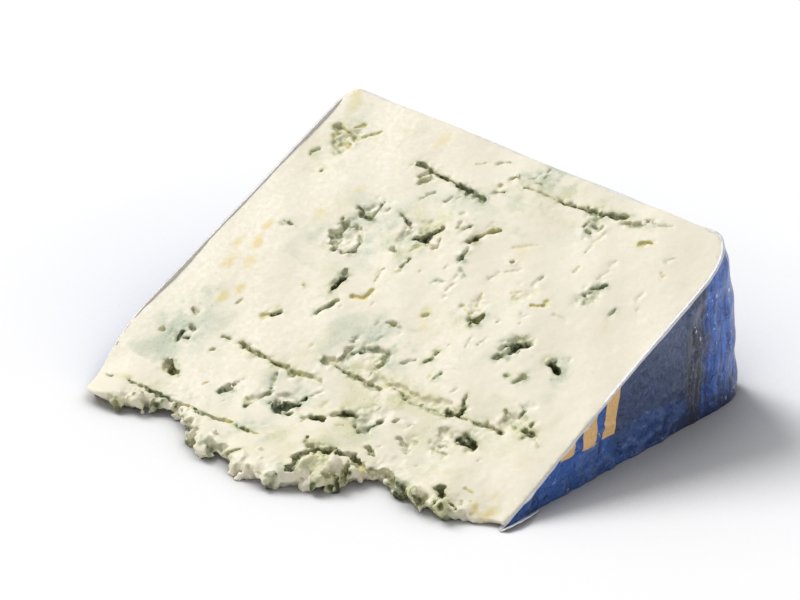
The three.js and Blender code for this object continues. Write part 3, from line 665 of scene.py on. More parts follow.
def tip_lumps():
    """Lumps of curd on the broken tip, and the gaps bitten out between them, where the model has them."""
    random = seeded_random(MODEL_TIP_SEED)
    lumps, bites = [], []
    for i in range(TIP_CRUMBS):
        x = 10 + (82 * (i + 0.7 * random())) / TIP_CRUMBS
        size, lift, reach, phase, stretch = (random() for _ in range(5))
        radius = 1.1 + 1.5 * size
        y = float(tip_outline(x)) + 1.4 * reach
        extent = radius * np.array([0.9 + 0.8 * stretch, 0.85, 0.7])
        if i % 3 == 1:
            bites.append(Opening(np.array([x, y - 0.6, 2.6]), extent, 3 * phase, 0.6, 0.3 * lift, 0.7))
        else:
            lumps.append(Lump(np.array([x, y + 0.8, 0.8 + lift]), extent, 3 * phase))
    lumps = [lump for lump in lumps if lump.place[0] > SMOOTH_CORNER]
    bites = [bite for bite in bites if bite.place[0] > SMOOTH_CORNER + 6]
    draw = np.random.default_rng(TIP_SEED)
    while len(lumps) < TIP_LUMPS:
        x = draw.uniform(SMOOTH_CORNER, 97)
        if crumbliness(x) < draw.uniform():
            continue
        radius = 0.5 + 0.9 * draw.uniform() ** 2
        y = float(tip_outline(x)) + draw.uniform(-0.2, 2.6)
        if BIG_LUMP_STRETCH[0] < x < BIG_LUMP_STRETCH[1]:
            continue
        place = np.array([x, y, draw.uniform(0.8, 3.2)])
        extent = radius * np.array([draw.uniform(0.8, 1.4), 1.0, 0.8])
        lumps.append(Lump(place, extent, draw.uniform(0, 3)))
    lumps.append(Lump(np.array(BIG_LUMP_PLACE), np.array(BIG_LUMP_SIZE), 0.3))
    return lumps, bites


class Paste:
    """The field of distances whose zero is the paste's surface."""

    def __init__(self):
        self.noise = CurdNoise(NOISE_SEED)
        self.lumps, bites = tip_lumps()
        self.openings = dishes() + bites + underside_openings()
        self.trails = cut_trails()

    def base(self, points):
        """The plain slice, with no cavities or relief."""
        x, y, z = points.T
        top = (z - cut_height(x, y)) * math.cos(CUT_ANGLE)
        front = tip_outline(x) - y
        return np.maximum.reduce([wheel_distance(points), top, front, -z])

    def textures(self, points):
        """Noise with coarse, fine and grainy lumps."""
        return [self.noise.at(points + 31 * n, size) for n, size in enumerate(TEXTURE_SIZES)]

    def slice(self, points, textures):
        """The slice with the relief of its cut and of its broken tip."""
        x, y, z = points.T
        coarse, fine, grain = (texture[:, 0] for texture in textures)
        behind = np.maximum(y - tip_outline(x), 0)
        crumbly = np.exp(-behind / 3.2) * crumbliness(x)
        relief = (0.03 + 0.5 * crumbly) * coarse + (0.012 + 0.3 * crumbly) * fine
        relief = relief + (0.004 + 0.14 * crumbly) * grain
        top = (z - cut_height(x, y) - relief) * math.cos(CUT_ANGLE)
        ragged = (0.15 + 0.85 * crumbliness(x)) * (0.9 * coarse + 0.5 * fine + 0.2 * grain)
        undercut = (1.1 - 0.4 * crumbliness(x)) * np.maximum(2.4 - z, 0)
        front = (tip_outline(x) - y + 0.3 + ragged + undercut) * 0.72
        return np.maximum(soft_max(top, front, 0.5), wheel_distance(points))

    def opening_distance(self, points, opening, textures):
        """Below 0 inside a ragged hollow."""
        coarse, fine, grain = textures
        place = cut_frame(points, opening.place, opening.turn)
        smallest = opening.size[:2].min()
        place = place + min(0.6 * smallest, 1.0) * coarse * (1, 1, 0.3)
        place = place + min(0.3 * smallest, 0.4) * fine * (1, 1, 0.3)
        share = np.linalg.norm(place / opening.size, axis=1)
        return (share - 1) * opening.size.min() + 0.06 * grain[:, 1]

    def trail_distance(self, points, trail, textures):
        """Below 0 inside the gap round a line on the cut, which is ragged and narrows towards its ends."""
        coarse, fine, grain = textures
        x, y, z = points.T
        depth = (cut_height(x, y) - z) * math.cos(CUT_ANGLE)
        place = unfolded(x, y - depth * math.sin(CUT_ANGLE))
        place = place + min(0.4 * trail.width, 0.45) * coarse[:, :2]
        place = place + min(0.35 * trail.width, 0.35) * fine[:, :2]
        away = np.full(len(points), np.inf)
        for start, stop in zip(trail.points, trail.points[1:]):
            line = stop - start
            share = np.clip((place - start) @ line / (line @ line), 0, 1)
            away = np.minimum(away, np.linalg.norm(place - start - share[:, None] * line, axis=1))
        half = trail.width / 2 * np.clip(1 + 0.45 * fine[:, 2] + 0.45 * coarse[:, 2], 0.35, 1.8)
        gap = np.hypot(away / half, np.maximum(depth, 0) / trail.depth) - 1
        return gap * np.minimum(half, trail.depth) + 0.04 * grain[:, 1]

    def distance(self, points):
        """The whole field at some points, in millimetres."""
        nearby = Nearby(points)
        textures = self.textures(points)
        field = self.slice(points, textures)
        for lump in self.lumps:
            n = nearby.find(lump.place, lump.size.max() + 1.2)
            place = cut_frame(points[n], lump.place, lump.turn)
            solid = (np.linalg.norm(place / lump.size, axis=1) - 1) * lump.size.min()
            solid += lump.size.min() * (0.3 * textures[0][n, 0] + 0.22 * textures[1][n, 0])
            field[n] = soft_min(field[n], solid + 0.06 * textures[2][n, 0], LUMP_BLEND)
        for opening in self.openings:
            n = nearby.find(opening.place, opening.size.max() * 1.6 + 0.8)
            if len(n):
                hollow = self.opening_distance(points[n], opening, [texture[n] for texture in textures])
                field[n] = soft_max(field[n], -hollow, HOLLOW_BLEND)
        for trail in self.trails:
            n = nearby.find(trail.middle, trail.reach)
            if len(n):
                hollow = self.trail_distance(points[n], trail, [texture[n] for texture in textures])
                field[n] = soft_max(field[n], -hollow, TRAIL_BLEND)
                field[n] += 0.16 * trail.mould * np.exp(-np.abs(hollow) / 0.8) * textures[1][n, 0]
        return np.maximum.reduce([field, -points[:, 2], LOWEST_Y - points[:, 1]])

    def looks(self, points):
        """How much mould, ochre, pale stain and loose crumb each point of the surface has, from 0 to 1."""
        coat = Coat(self, points)
        self.line_openings(coat)
        self.line_trails(coat)
        coat.stain_surface()
        broken = coat.grow_on_tip()
        return {**{name: np.clip(share, 0, 1) for name, share in coat.shares.items()}, "broken": broken}

    def line_openings(self, coat):
        """Mottled mould and ochre in the hollows, and the pale stain round them."""
        mottle = np.clip(0.5 + 0.45 * coat.fine + 0.45 * coat.coarse + 0.25 * coat.grain, 0, 1.2)
        for opening in self.openings:
            n = coat.nearby.find(opening.place, opening.size.max() * 1.6 + 5 * opening.halo + 1)
            if not len(n):
                continue
            away = self.opening_distance(coat.points[n], opening, [texture[n] for texture in coat.textures])
            lined = (1 - step(away, -0.1, 0.5)) * mottle[n]
            coat.cover("mould", opening.mould * lined, n)
            coat.cover("ochre", opening.ochre * lined, n)
            stain = 0.8 * opening.halo * np.exp(-np.maximum(away, 0) / (0.7 + 2 * opening.halo))
            uneven = np.clip(0.8 + 0.7 * coat.patches[n] + 0.3 * coat.coarse[n], 0, 1.3)
            coat.cover("halo", stain * uneven, n)

    def line_trails(self, coat):
        """Patchy mould and ochre in the gaps, the mould heavier deeper down as partly painted shade, mould
        smeared beside them, and the pale stain round them.
        """
        x, y, z = coat.points.T
        # How deep a point lies in the gap: the mould is heavier there, partly the veins' real dark mould,
        # partly painted shade
        below = step((cut_height(x, y) - z) * math.cos(CUT_ANGLE), 0.15, 1.4)
        for trail in self.trails:
            spread = 0.25 + 0.35 * trail.width
            n = coat.nearby.find(trail.middle, trail.reach + 3 * spread)
            if not len(n):
                continue
            coarse, fine, grain = coat.coarse[n], coat.fine[n], coat.grain[n]
            away = self.trail_distance(coat.points[n], trail, [texture[n] for texture in coat.textures])
            outside = np.maximum(away, 0)
            lined = 1 - step(away + 0.12 * fine + 0.1 * grain, -0.25, 0.22 + 0.12 * trail.width)
            patchy = np.clip(0.66 + 0.25 * fine + 0.25 * coarse + 0.4 * below[n], 0.35, 1.1)
            smear = 0.6 * np.exp(-outside / spread) * np.clip(0.25 + 0.6 * fine + 0.5 * coarse, 0, 1)
            coat.cover("mould", trail.mould * np.maximum(lined * patchy, smear), n)
            coat.cover("ochre", trail.ochre * (1 - step(away, -0.1, 0.35)), n)
            stain = trail.mould * np.exp(-outside / (2 * spread))
            coat.cover("halo", stain * np.clip(0.8 + 0.5 * coat.patches[n] + 0.4 * coarse, 0, 1.2), n)


class Coat:
    """The mould, ochre and pale stain on each point of the surface, and the noise that spreads them."""

    def __init__(self, paste, points):
        self.points = points
        self.nearby = Nearby(points)
        self.textures = paste.textures(points)
        self.coarse, self.fine, self.grain = (texture[:, 1] for texture in self.textures)
        self.patches = paste.noise.at(points + 57, PATCH_SIZE)[:, 0]
        self.shares = {name: np.zeros(len(points)) for name in ("mould", "ochre", "halo")}

    def cover(self, name, share, where=slice(None)):
        """Raises one of the three to a share on the points that have less."""
        covered = self.shares[name]
        covered[where] = np.maximum(covered[where], share)

    def stain_surface(self):
        """Ochre and pale green stains that lie on the cut, with no hollow."""
        x, y = self.points[:, 0], self.points[:, 1]
        grainy = np.clip(0.85 + 0.25 * self.fine + 0.1 * self.grain, 0.1, 1.1)
        for spot_x, spot_y, radius, strength in OCHRE_STAINS:
            away = np.hypot(x - spot_x, (y - spot_y) * 0.8) + 0.5 * self.coarse + 0.3 * self.fine
            self.cover("ochre", strength * grainy * (1 - step(away, 0, 1.5 * radius)))
        speckled = np.clip(0.6 + 0.4 * self.coarse + 0.4 * self.fine, 0, 1.2)
        for spot_x, spot_y, radius, strength in GREEN_STAINS:
            away = np.hypot(x - spot_x, (y - spot_y) * 0.8) * (1 + 0.3 * self.patches)
            self.cover("halo", strength * np.exp(-(away / radius) ** 2) * speckled)

    def grow_on_tip(self):
        """Patches of mould, ochre and stain along the broken tip. Gives how broken each point is."""
        x, y = self.points[:, 0], self.points[:, 1]
        behind = np.maximum(y - tip_outline(x), 0)
        broken = np.exp(-behind / 2) * crumbliness(x)
        growth = np.clip(0.22 + 0.5 * self.patches + 0.5 * self.coarse + 0.6 * self.fine, 0, 1)
        self.cover("mould", 0.85 * broken * growth)
        self.cover("ochre", 0.4 * broken * np.clip(0.1 + 0.5 * self.patches - 0.4 * self.coarse, 0, 1))
        wide = np.exp(-behind / 5) * crumbliness(x)
        self.cover("halo", 0.9 * wide * np.clip(0.55 + 0.6 * self.patches, 0, 1))
        return broken


def surface_net(values, cell, low):
    """A closed mesh of quads where values on a grid change sign: one point for each cell that they cross."""
    shape = np.array(values.shape) - 1
    rings, spots = [], []
    for axis in range(3):
        u, v = (axis + 1) % 3, (axis + 2) % 3
        lower = np.moveaxis(values, axis, 0)[:-1]
        upper = np.moveaxis(values, axis, 0)[1:]
        found = np.argwhere((lower < 0) != (upper < 0))
        start, stop = lower[tuple(found.T)], upper[tuple(found.T)]
        others = [a for a in range(3) if a != axis]
        corner = np.zeros_like(found)
        corner[:, axis] = found[:, 0]
        corner[:, others] = found[:, 1:]
        spot = corner.astype(np.float64)
        spot[:, axis] += start / (start - stop)
        ring = []
        for du, dv in ((-1, -1), (0, -1), (0, 0), (-1, 0)):
            cells = corner.copy()
            cells[:, u] += du
            cells[:, v] += dv
            ring.append(np.ravel_multi_index(cells.T, shape))
        ring = np.stack(ring, axis=1)
        inward = start > 0
        ring[inward] = ring[inward][:, ::-1]
        rings.append(ring)
        spots.append(spot)
    ring = np.concatenate(rings)
    spot = np.repeat(np.concatenate(spots), 4, axis=0)
    cells, corner = np.unique(ring.ravel(), return_inverse=True)
    count = np.bincount(corner, minlength=len(cells))
    points = [np.bincount(corner, weights=spot[:, axis], minlength=len(cells)) / count for axis in range(3)]
    return np.stack(points, axis=1) * cell + low, corner.reshape(-1, 4)


def largest_part(points, quads):
    """The mesh without the scraps that float free of it."""
    label = np.arange(len(points))
    while True:
        lowest = label[quads].min(axis=1)
        new = label.copy()
        np.minimum.at(new, quads.ravel(), np.repeat(lowest, 4))
        new = new[new]
        if np.array_equal(new, label):
            break
        label = new
    biggest = np.bincount(label).argmax()
    kept = label == biggest
    number = np.cumsum(kept) - 1
    return points[kept], number[quads[kept[quads[:, 0]]]]


def paste_values(paste, low, shape, cell):
    """The field on a grid: worked out on one twice as coarse, and again on the fine one near the surface."""
    wide = 2 * cell
    grid = np.indices((shape + 1) // 2 + 1).reshape(3, -1).T * wide + low
    values = paste.base(grid)
    depth = (cut_height(grid[:, 0], grid[:, 1]) - grid[:, 2]) * math.cos(CUT_ANGLE)
    hollowed = (depth > 0) & (depth < DEEPEST_HOLLOW) & (values < 0)
    near = np.nonzero((np.abs(values) < 3.0) | hollowed)[0]
    values[near] = paste.distance(grid[near])
    values = values.reshape((shape + 1) // 2 + 1)
    least = np.abs(values)
    for axis in range(3):
        least = np.minimum(np.delete(least, 0, axis), np.delete(least, -1, axis))
    values = values[:-1, :-1, :-1]
    for axis in range(3):
        values = values.repeat(2, axis)
        least = least.repeat(2, axis)
    values = values[:shape[0], :shape[1], :shape[2]].copy()
    near = np.argwhere(least[:shape[0], :shape[1], :shape[2]] < 1.6 * wide)
    values[tuple(near.T)] = paste.distance(near * cell + low)
    return values


def paste_surface(paste, cell):
    """The paste's surface as points and quads, in millimetres, each point moved onto the field's zero."""
    margin = 2.5 * cell
    low = np.array([-margin - 0.5, -margin - 1.0, -margin])
    high = np.array([WHEEL_HEIGHT + margin + 0.5, WHEEL_RADIUS + margin, HIGHEST_PASTE + margin])
    shape = np.ceil((high - low) / cell).astype(int)
    points, quads = surface_net(paste_values(paste, low, shape, cell), cell, low)
    points, quads = largest_part(points, quads)
    reach = 0.05
    field = paste.distance(points)
    slope = np.stack([paste.distance(points + reach * axis) - field for axis in np.eye(3)], axis=1) / reach
    move = field / np.maximum((slope ** 2).sum(axis=1), 0.3)
    moved = points - np.clip(move, -0.4 * cell, 0.4 * cell)[:, None] * slope
    moved[:, 2] = np.maximum(moved[:, 2], 0.0)
    return moved, quads


# Meshes

def mesh_piece(name, points, faces, material):
    """A mesh object with its place in its mesh, in metres in the row frame, smooth and with one material."""
    mesh = bpy.data.meshes.new(name)
    sides = faces.shape[1]
    mesh.vertices.add(len(points))
    mesh.vertices.foreach_set("co", np.asarray(points, np.float32).ravel())
    mesh.loops.add(faces.size)
    mesh.loops.foreach_set("vertex_index", faces.astype(np.int32).ravel())
    mesh.polygons.add(len(faces))
    mesh.polygons.foreach_set("loop_start", np.arange(0, faces.size, sides, dtype=np.int32))
    mesh.update(calc_edges=True)
    mesh.polygons.foreach_set("use_smooth", np.ones(len(faces), bool))
    mesh.materials.append(material)
    piece = bpy.data.objects.new(name, mesh)
    bpy.context.scene.collection.objects.link(piece)
    return piece


def slice_points(mesh):
    """A mesh's points in the slice's frame, in millimetres."""
    flat = np.empty(len(mesh.vertices) * 3, np.float32)
    mesh.vertices.foreach_get("co", flat)
    return flat.reshape(-1, 3).astype(np.float64) / MM - SLICE_ORIGIN


def row_points(points):
    return (points + SLICE_ORIGIN) * MM


def store_looks(mesh, looks):
    for name, values in looks.items():
        layer = mesh.attributes.new(name, "FLOAT", "POINT")
        layer.data.foreach_set("value", np.asarray(values, np.float32))


def empty_piece(name):
    """An object with an empty mesh, for a node tree to fill."""
    piece = bpy.data.objects.new(name, bpy.data.meshes.new(name))
    bpy.context.scene.collection.objects.link(piece)
    return piece


def bake_modifiers(piece):
    """Turns the piece with its modifiers into a plain mesh."""
    depsgraph = bpy.context.evaluated_depsgraph_get()
    mesh = bpy.data.meshes.new_from_object(piece.evaluated_get(depsgraph), depsgraph=depsgraph)
    piece.modifiers.clear()
    old = piece.data
    piece.data = mesh
    mesh.name = piece.name
    if old.users == 0:
        bpy.data.batch_remove([old])


def give_thickness(piece, thickness, offset):
    """Turns a sheet into a closed shell."""
    shell = piece.modifiers.new("foil layers", "SOLIDIFY")
    shell.thickness = thickness
    shell.offset = offset
    bake_modifiers(piece)


def facing_out(piece):
    """1 on the points of the foil that face away from the paste, and 0 on its inner side."""
    normals = np.empty(len(piece.data.vertices) * 3, np.float32)
    piece.data.vertices.foreach_get("normal", normals)
    outward = slice_points(piece.data) - (WHEEL_HEIGHT / 2, 0, 0)
    return ((outward * normals.reshape(-1, 3)).sum(axis=1) > 0).astype(float)


def keep_in_box(mesh):
    """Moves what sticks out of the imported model's box by a hair back to its sides."""
    flat = np.empty(len(mesh.vertices) * 3, np.float32)
    mesh.vertices.foreach_get("co", flat)
    low, high = (np.array(corner) for corner in CAD_BOX)
    mesh.vertices.foreach_set("co", np.clip(flat.reshape(-1, 3), low, high).astype(np.float32).ravel())
    mesh.update()


def settle_walls(mesh):
    """Moves what thinning left outside the wheel's walls, under the foil, back onto them."""
    points = slice_points(mesh)
    over = wheel_distance(points) + 0.03
    outside = np.nonzero((over > 0) & (cut_height(points[:, 0], points[:, 1]) - points[:, 2] > 1.2))[0]
    reach = 0.02
    place = points[outside]
    rise = [wheel_distance(place + move) - wheel_distance(place - move) for move in reach * np.eye(3)]
    points[outside] = place - over[outside, None] * np.stack(rise, axis=1) / (2 * reach)
    mesh.vertices.foreach_set("co", row_points(points).astype(np.float32).ravel())
    mesh.update()


# Node trees

NUMBER, WHOLE_NUMBER, VECTOR = "NodeSocketFloat", "NodeSocketInt", "NodeSocketVector"
COLOUR, OBJECT, GEOMETRY = "NodeSocketColor", "NodeSocketObject", "NodeSocketGeometry"


class Value:
    """A value in a node tree. The signs + - * and / join it to others with math nodes."""

    def __init__(self, tree, socket):
        self.tree = tree
        self.socket = socket

    def __add__(self, other):
        return self.tree.math("ADD", self, other)

    def __sub__(self, other):
        return self.tree.math("SUBTRACT", self, other)

    def __rsub__(self, other):
        return self.tree.math("SUBTRACT", other, self)

    def __mul__(self, other):
        return self.tree.math("MULTIPLY", self, other)

    def __truediv__(self, other):
        return self.tree.math("DIVIDE", self, other)


class Tree:
    """Adds nodes to a node tree in few words."""

    def __init__(self, tree):
        self.tree = tree

    def add(self, kind, *inputs, **settings):
        """A node whose settings and inputs are given; a tuple of (name, value) fills a named input."""
        node = self.tree.nodes.new(kind)
        for name, value in settings.items():
            setattr(node, name, value)
        for number, given in enumerate(inputs):
            if isinstance(given, tuple) and len(given) == 2 and isinstance(given[0], str):
                self.plug(given[1], node.inputs[given[0]])
            else:
                self.plug(given, node.inputs[number])
        return node

    def plug(self, value, socket):
        if isinstance(value, Value):
            self.tree.links.new(value.socket, socket)
        elif isinstance(value, bpy.types.NodeSocket):
            self.tree.links.new(value, socket)
        elif isinstance(value, bpy.types.Node):
            self.tree.links.new(value.outputs[0], socket)
        else:
            socket.default_value = value

    def math(self, operation, *inputs):
        return Value(self, self.add("ShaderNodeMath", *inputs, operation=operation).outputs[0])

    def ramp(self, value, low, high, to_low=0.0, to_high=1.0):
        """A value mapped smoothly from one range to another, and held at its ends."""
        node = self.add("ShaderNodeMapRange", ("Value", value), ("From Min", low), ("From Max", high),
                        ("To Min", to_low), ("To Max", to_high), interpolation_type="SMOOTHSTEP")
        return Value(self, node.outputs[0])

    def mix(self, share, a, b):
        """Two colours mixed."""
        node = self.add("ShaderNodeMix", data_type="RGBA")
        for value, socket in ((share, node.inputs[0]), (a, node.inputs[6]), (b, node.inputs[7])):
            self.plug(as_rgba(value), socket)
        return node.outputs[2]

    def noise(self, place, scale, detail=2.0, roughness=0.5, distortion=0.0):
        node = self.add("ShaderNodeTexNoise", ("Vector", place), ("Scale", scale), ("Detail", detail),
                        ("Roughness", roughness), ("Distortion", distortion))
        return Value(self, node.outputs["Fac"])

    def wobble(self, place, scale, detail):
        """Noise as a vector about zero."""
        node = self.add("ShaderNodeTexNoise", ("Vector", place), ("Scale", scale), ("Detail", detail))
        return self.vector("ADD", node.outputs["Color"], (-0.5, -0.5, -0.5))

    def vector(self, operation, *inputs):
        return self.add("ShaderNodeVectorMath", *inputs, operation=operation).outputs[0]

    def split(self, vector):
        """A vector's X, Y and Z."""
        return [Value(self, part) for part in self.add("ShaderNodeSeparateXYZ", vector).outputs]

    def join(self, x, y, z):
        return self.add("ShaderNodeCombineXYZ", x, y, z).outputs[0]

    def relief(self, height, strength, distance):
        """A normal tilted by the slopes of a height."""
        node = self.add("ShaderNodeBump", ("Strength", strength), ("Distance", distance), ("Height", height))
        return node.outputs["Normal"]

    def stored(self, name):
        """A number kept on the mesh's points under a name."""
        if self.tree.bl_idname == "GeometryNodeTree":
            node = self.add("GeometryNodeInputNamedAttribute", ("Name", name), data_type="FLOAT")
            return Value(self, node.outputs["Attribute"])
        return Value(self, self.add("ShaderNodeAttribute", attribute_name=name).outputs["Fac"])

    def store(self, geometry, name, field):
        """The geometry with a field kept on its points under a name."""
        node = self.add("GeometryNodeStoreNamedAttribute", ("Geometry", geometry), ("Name", name),
                        data_type="FLOAT", domain="POINT")
        self.plug(field, next(s for s in node.inputs if s.name == "Value" and s.enabled))
        return node.outputs[0]


def as_rgba(value):
    """A colour with three parts as one with four; anything else as it is."""
    if isinstance(value, (Value, bpy.types.NodeSocket, int, float)):
        return value
    parts = tuple(value)
    return (*parts, 1.0) if len(parts) == 3 else parts


def new_material(name):
    material = bpy.data.materials.new(name)
    material.use_nodes = True
    tree = Tree(material.node_tree)
    shader = next(n for n in material.node_tree.nodes if n.type == "BSDF_PRINCIPLED")
    return material, tree, shader


def new_group(name, kind, inputs, outputs):
    """A node group with named inputs and outputs. Gives the group, its tree, its inputs and its outputs."""
    group = bpy.data.node_groups.new(name, kind)
    for socket_name, socket_type, default in inputs:
        socket = group.interface.new_socket(socket_name, in_out="INPUT", socket_type=socket_type)
        if default is not None:
            socket.default_value = as_rgba(default) if socket_type == COLOUR else default
    for socket_name, socket_type in outputs:
        group.interface.new_socket(socket_name, in_out="OUTPUT", socket_type=socket_type)
    tree = Tree(group)
    take = {socket.name: Value(tree, socket) for socket in tree.add("NodeGroupInput").outputs if socket.name}
    return group, tree, take, tree.add("NodeGroupOutput").inputs


def curd_group():
    """Colour, roughness and relief of moist curd with mould, for the paste and what crumbled off it."""
    settings = cheese_settings()
    group, tree, take, made = new_group(
        "Curd and Mould", "ShaderNodeTree",
        [("Place", VECTOR, None), ("Mould", NUMBER, 0.0), ("Ochre", NUMBER, 0.0), ("Stain", NUMBER, 0.0),
         ("Cream", COLOUR, settings.cream), ("Pale Green", COLOUR, settings.stain),
         ("Mould Colour", COLOUR, settings.mould), ("Blue Mould", COLOUR, settings.mould_blue),
         ("Dark Mould", COLOUR, settings.mould_dark), ("Ochre Colour", COLOUR, settings.ochre)],
        [("Color", COLOUR), ("Roughness", NUMBER), ("Height", NUMBER)])
    broad = tree.noise(take["Place"], 70, 2)
    clumps = tree.noise(take["Place"], 420, 3, 0.6)
    grain = tree.noise(take["Place"], 1100, 3, 0.65)
    specks = tree.noise(take["Place"], 1900, 1, 0.7)
    stain = (clumps - 0.5) * 0.5 + take["Stain"]
    ochre = (clumps - 0.5) * 0.5 + take["Ochre"]
    mould = (clumps - 0.5) * 0.35 + ((grain - 0.5) * 0.5 + take["Mould"])

    colour = tree.mix(tree.ramp(broad, 0.35, 0.7, 0, 0.5), take["Cream"], CREAM_SHADE)
    colour = tree.mix(tree.ramp(clumps, 0.5, 0.75, 0, 0.3), colour, CREAM_LIGHT)
    pale = tree.mix(tree.ramp(broad, 0.42, 0.6), take["Pale Green"], YELLOW_STAIN)
    colour = tree.mix(tree.ramp(stain, 0.08, 0.85, 0, 0.85), colour, pale)
    dusted = tree.ramp(specks, 0.5, 0.75) * tree.ramp(stain, 0.2, 0.9, 0, 0.35)
    colour = tree.mix(dusted, colour, take["Blue Mould"])
    dry = tree.mix(tree.ramp(stain, 0.0, 0.3), take["Ochre Colour"], OLIVE_OCHRE)
    colour = tree.mix(tree.ramp(ochre, 0.04, 0.8, 0, 0.92), colour, dry)
    colour = tree.mix(tree.ramp(mould, 0.1, 0.3, 0, 0.9), colour, PALE_MOULD)
    olive = (broad - 0.5) * 1.6 + ochre
    lining = tree.mix(tree.ramp(olive, -0.1, 0.3), take["Blue Mould"], take["Mould Colour"])
    colour = tree.mix(tree.ramp(mould, 0.28, 0.55, 0, 0.95), colour, lining)
    # The darkest mould, which the gaps get more of deeper down, partly as painted shade
    deep = tree.mix(tree.ramp(ochre, 0.2, 0.8, 0, 0.85), take["Dark Mould"], BROWN_MOULD)
    colour = tree.mix(tree.ramp(mould, 0.5, 0.88, 0, 0.95), colour, deep)
    roughness = tree.ramp(mould, 0.2, 0.7, 0.0, 0.3) + tree.ramp(grain, 0.3, 0.7, 0.42, 0.58)
    height = grain * tree.ramp(mould, 0.1, 0.6) * 1.5 + (clumps * 0.6 + grain * 0.5)
    for name, result in (("Color", colour), ("Roughness", roughness), ("Height", height)):
        tree.plug(result, made[name])
    return group


def curd_material():
    """Moist, slightly see-through curd. Its mould, ochre and stain are read from the mesh."""
    material, tree, shader = new_material("blue cheese paste")
    place = tree.add("ShaderNodeTexCoord").outputs["Object"]
    curd = tree.add("ShaderNodeGroup", ("Place", place), ("Mould", tree.stored("mould")),
                    ("Ochre", tree.stored("ochre")), ("Stain", tree.stored("halo")), node_tree=curd_group())
    tree.plug(curd.outputs["Color"], shader.inputs["Base Color"])
    tree.plug(curd.outputs["Roughness"], shader.inputs["Roughness"])
    tree.plug(tree.relief(curd.outputs["Height"], 0.3, CURD_BUMP * MM), shader.inputs["Normal"])
    for name, value in (("Subsurface Weight", 0.2), ("Subsurface Radius", (1.0, 0.9, 0.6)),
                        ("Subsurface Scale", 1.6 * MM), ("Specular IOR Level", 0.35)):
        shader.inputs[name].default_value = value
    return material


def printed_zones(tree, cloud, to_rind, height, face):
    """The colours of the right face, from the thin tip to the rind, and of the foil beyond it. Navy and
    royal blue are printed; the slate zone is painted reflection, with painted shade along the folds and
    towards the foot. Also gives where the painted glints are raised.
    """
    settings = cheese_settings()
    wander = (cloud - 0.5) * 10.0 + to_rind
    high = (cloud - 0.5) * 12.0 + height
    # The slate zone is a painted reflection on the smooth upper part of the right face
    slate_reflection_zone = tree.ramp(wander, *SLATE_REFLECTION_FROM) * tree.ramp(high, 1, 8)
    colour = tree.mix(slate_reflection_zone, settings.foil_navy, settings.foil_slate_reflection)
    # Vertical streaks of painted shade along the foil's folds, in the band and in the royal blue
    fold_streak_shade = tree.noise(tree.join(to_rind * 1.1, height * 0.1, 0.0), 1.0, 3, 0.6)
    band = tree.mix(tree.ramp(fold_streak_shade, 0.42, 0.6), BAND_FOLD_SHADE, BAND_GREY)
    colour = tree.mix(tree.ramp(wander, *BAND_FROM), colour, band)
    royal = tree.mix(tree.ramp(fold_streak_shade, 0.4, 0.62), ROYAL_FOLD_SHADE, settings.foil_royal)
    colour = tree.mix(tree.ramp(wander, *ROYAL_FROM), colour, royal)
    colour = tree.mix(1.0 - face, colour, settings.foil_royal)
    # Painted shade: the foil darker towards its foot, by the board
    foot = tree.ramp(high, 0.5, 7, 0.75, 0) * tree.ramp(wander, 52, 72, 0.3, 1)
    # Where the painted glints are raised: the royal blue of the right face
    royal_glint_zone = tree.ramp(wander, 76, 84) * face
    return tree.mix(foot, colour, FOOT_PAINTED_SHADE), royal_glint_zone


def gold_bars(tree, to_rind, height, face):
    """1 on the slanted gold bars low on the right face, and 0 beside them."""
    slant = height * -BAR_LEAN + to_rind
    bars = tree.ramp(tree.math("PINGPONG", slant - BAR_PHASE, BAR_PITCH / 2), 1.15, 1.3)
    bars = bars * tree.ramp(slant, *BARS_FROM) * (1.0 - tree.ramp(slant, *BARS_TO))
    return bars * tree.ramp(height, *BAR_FOOT) * tree.ramp(face, 0.6, 0.9)


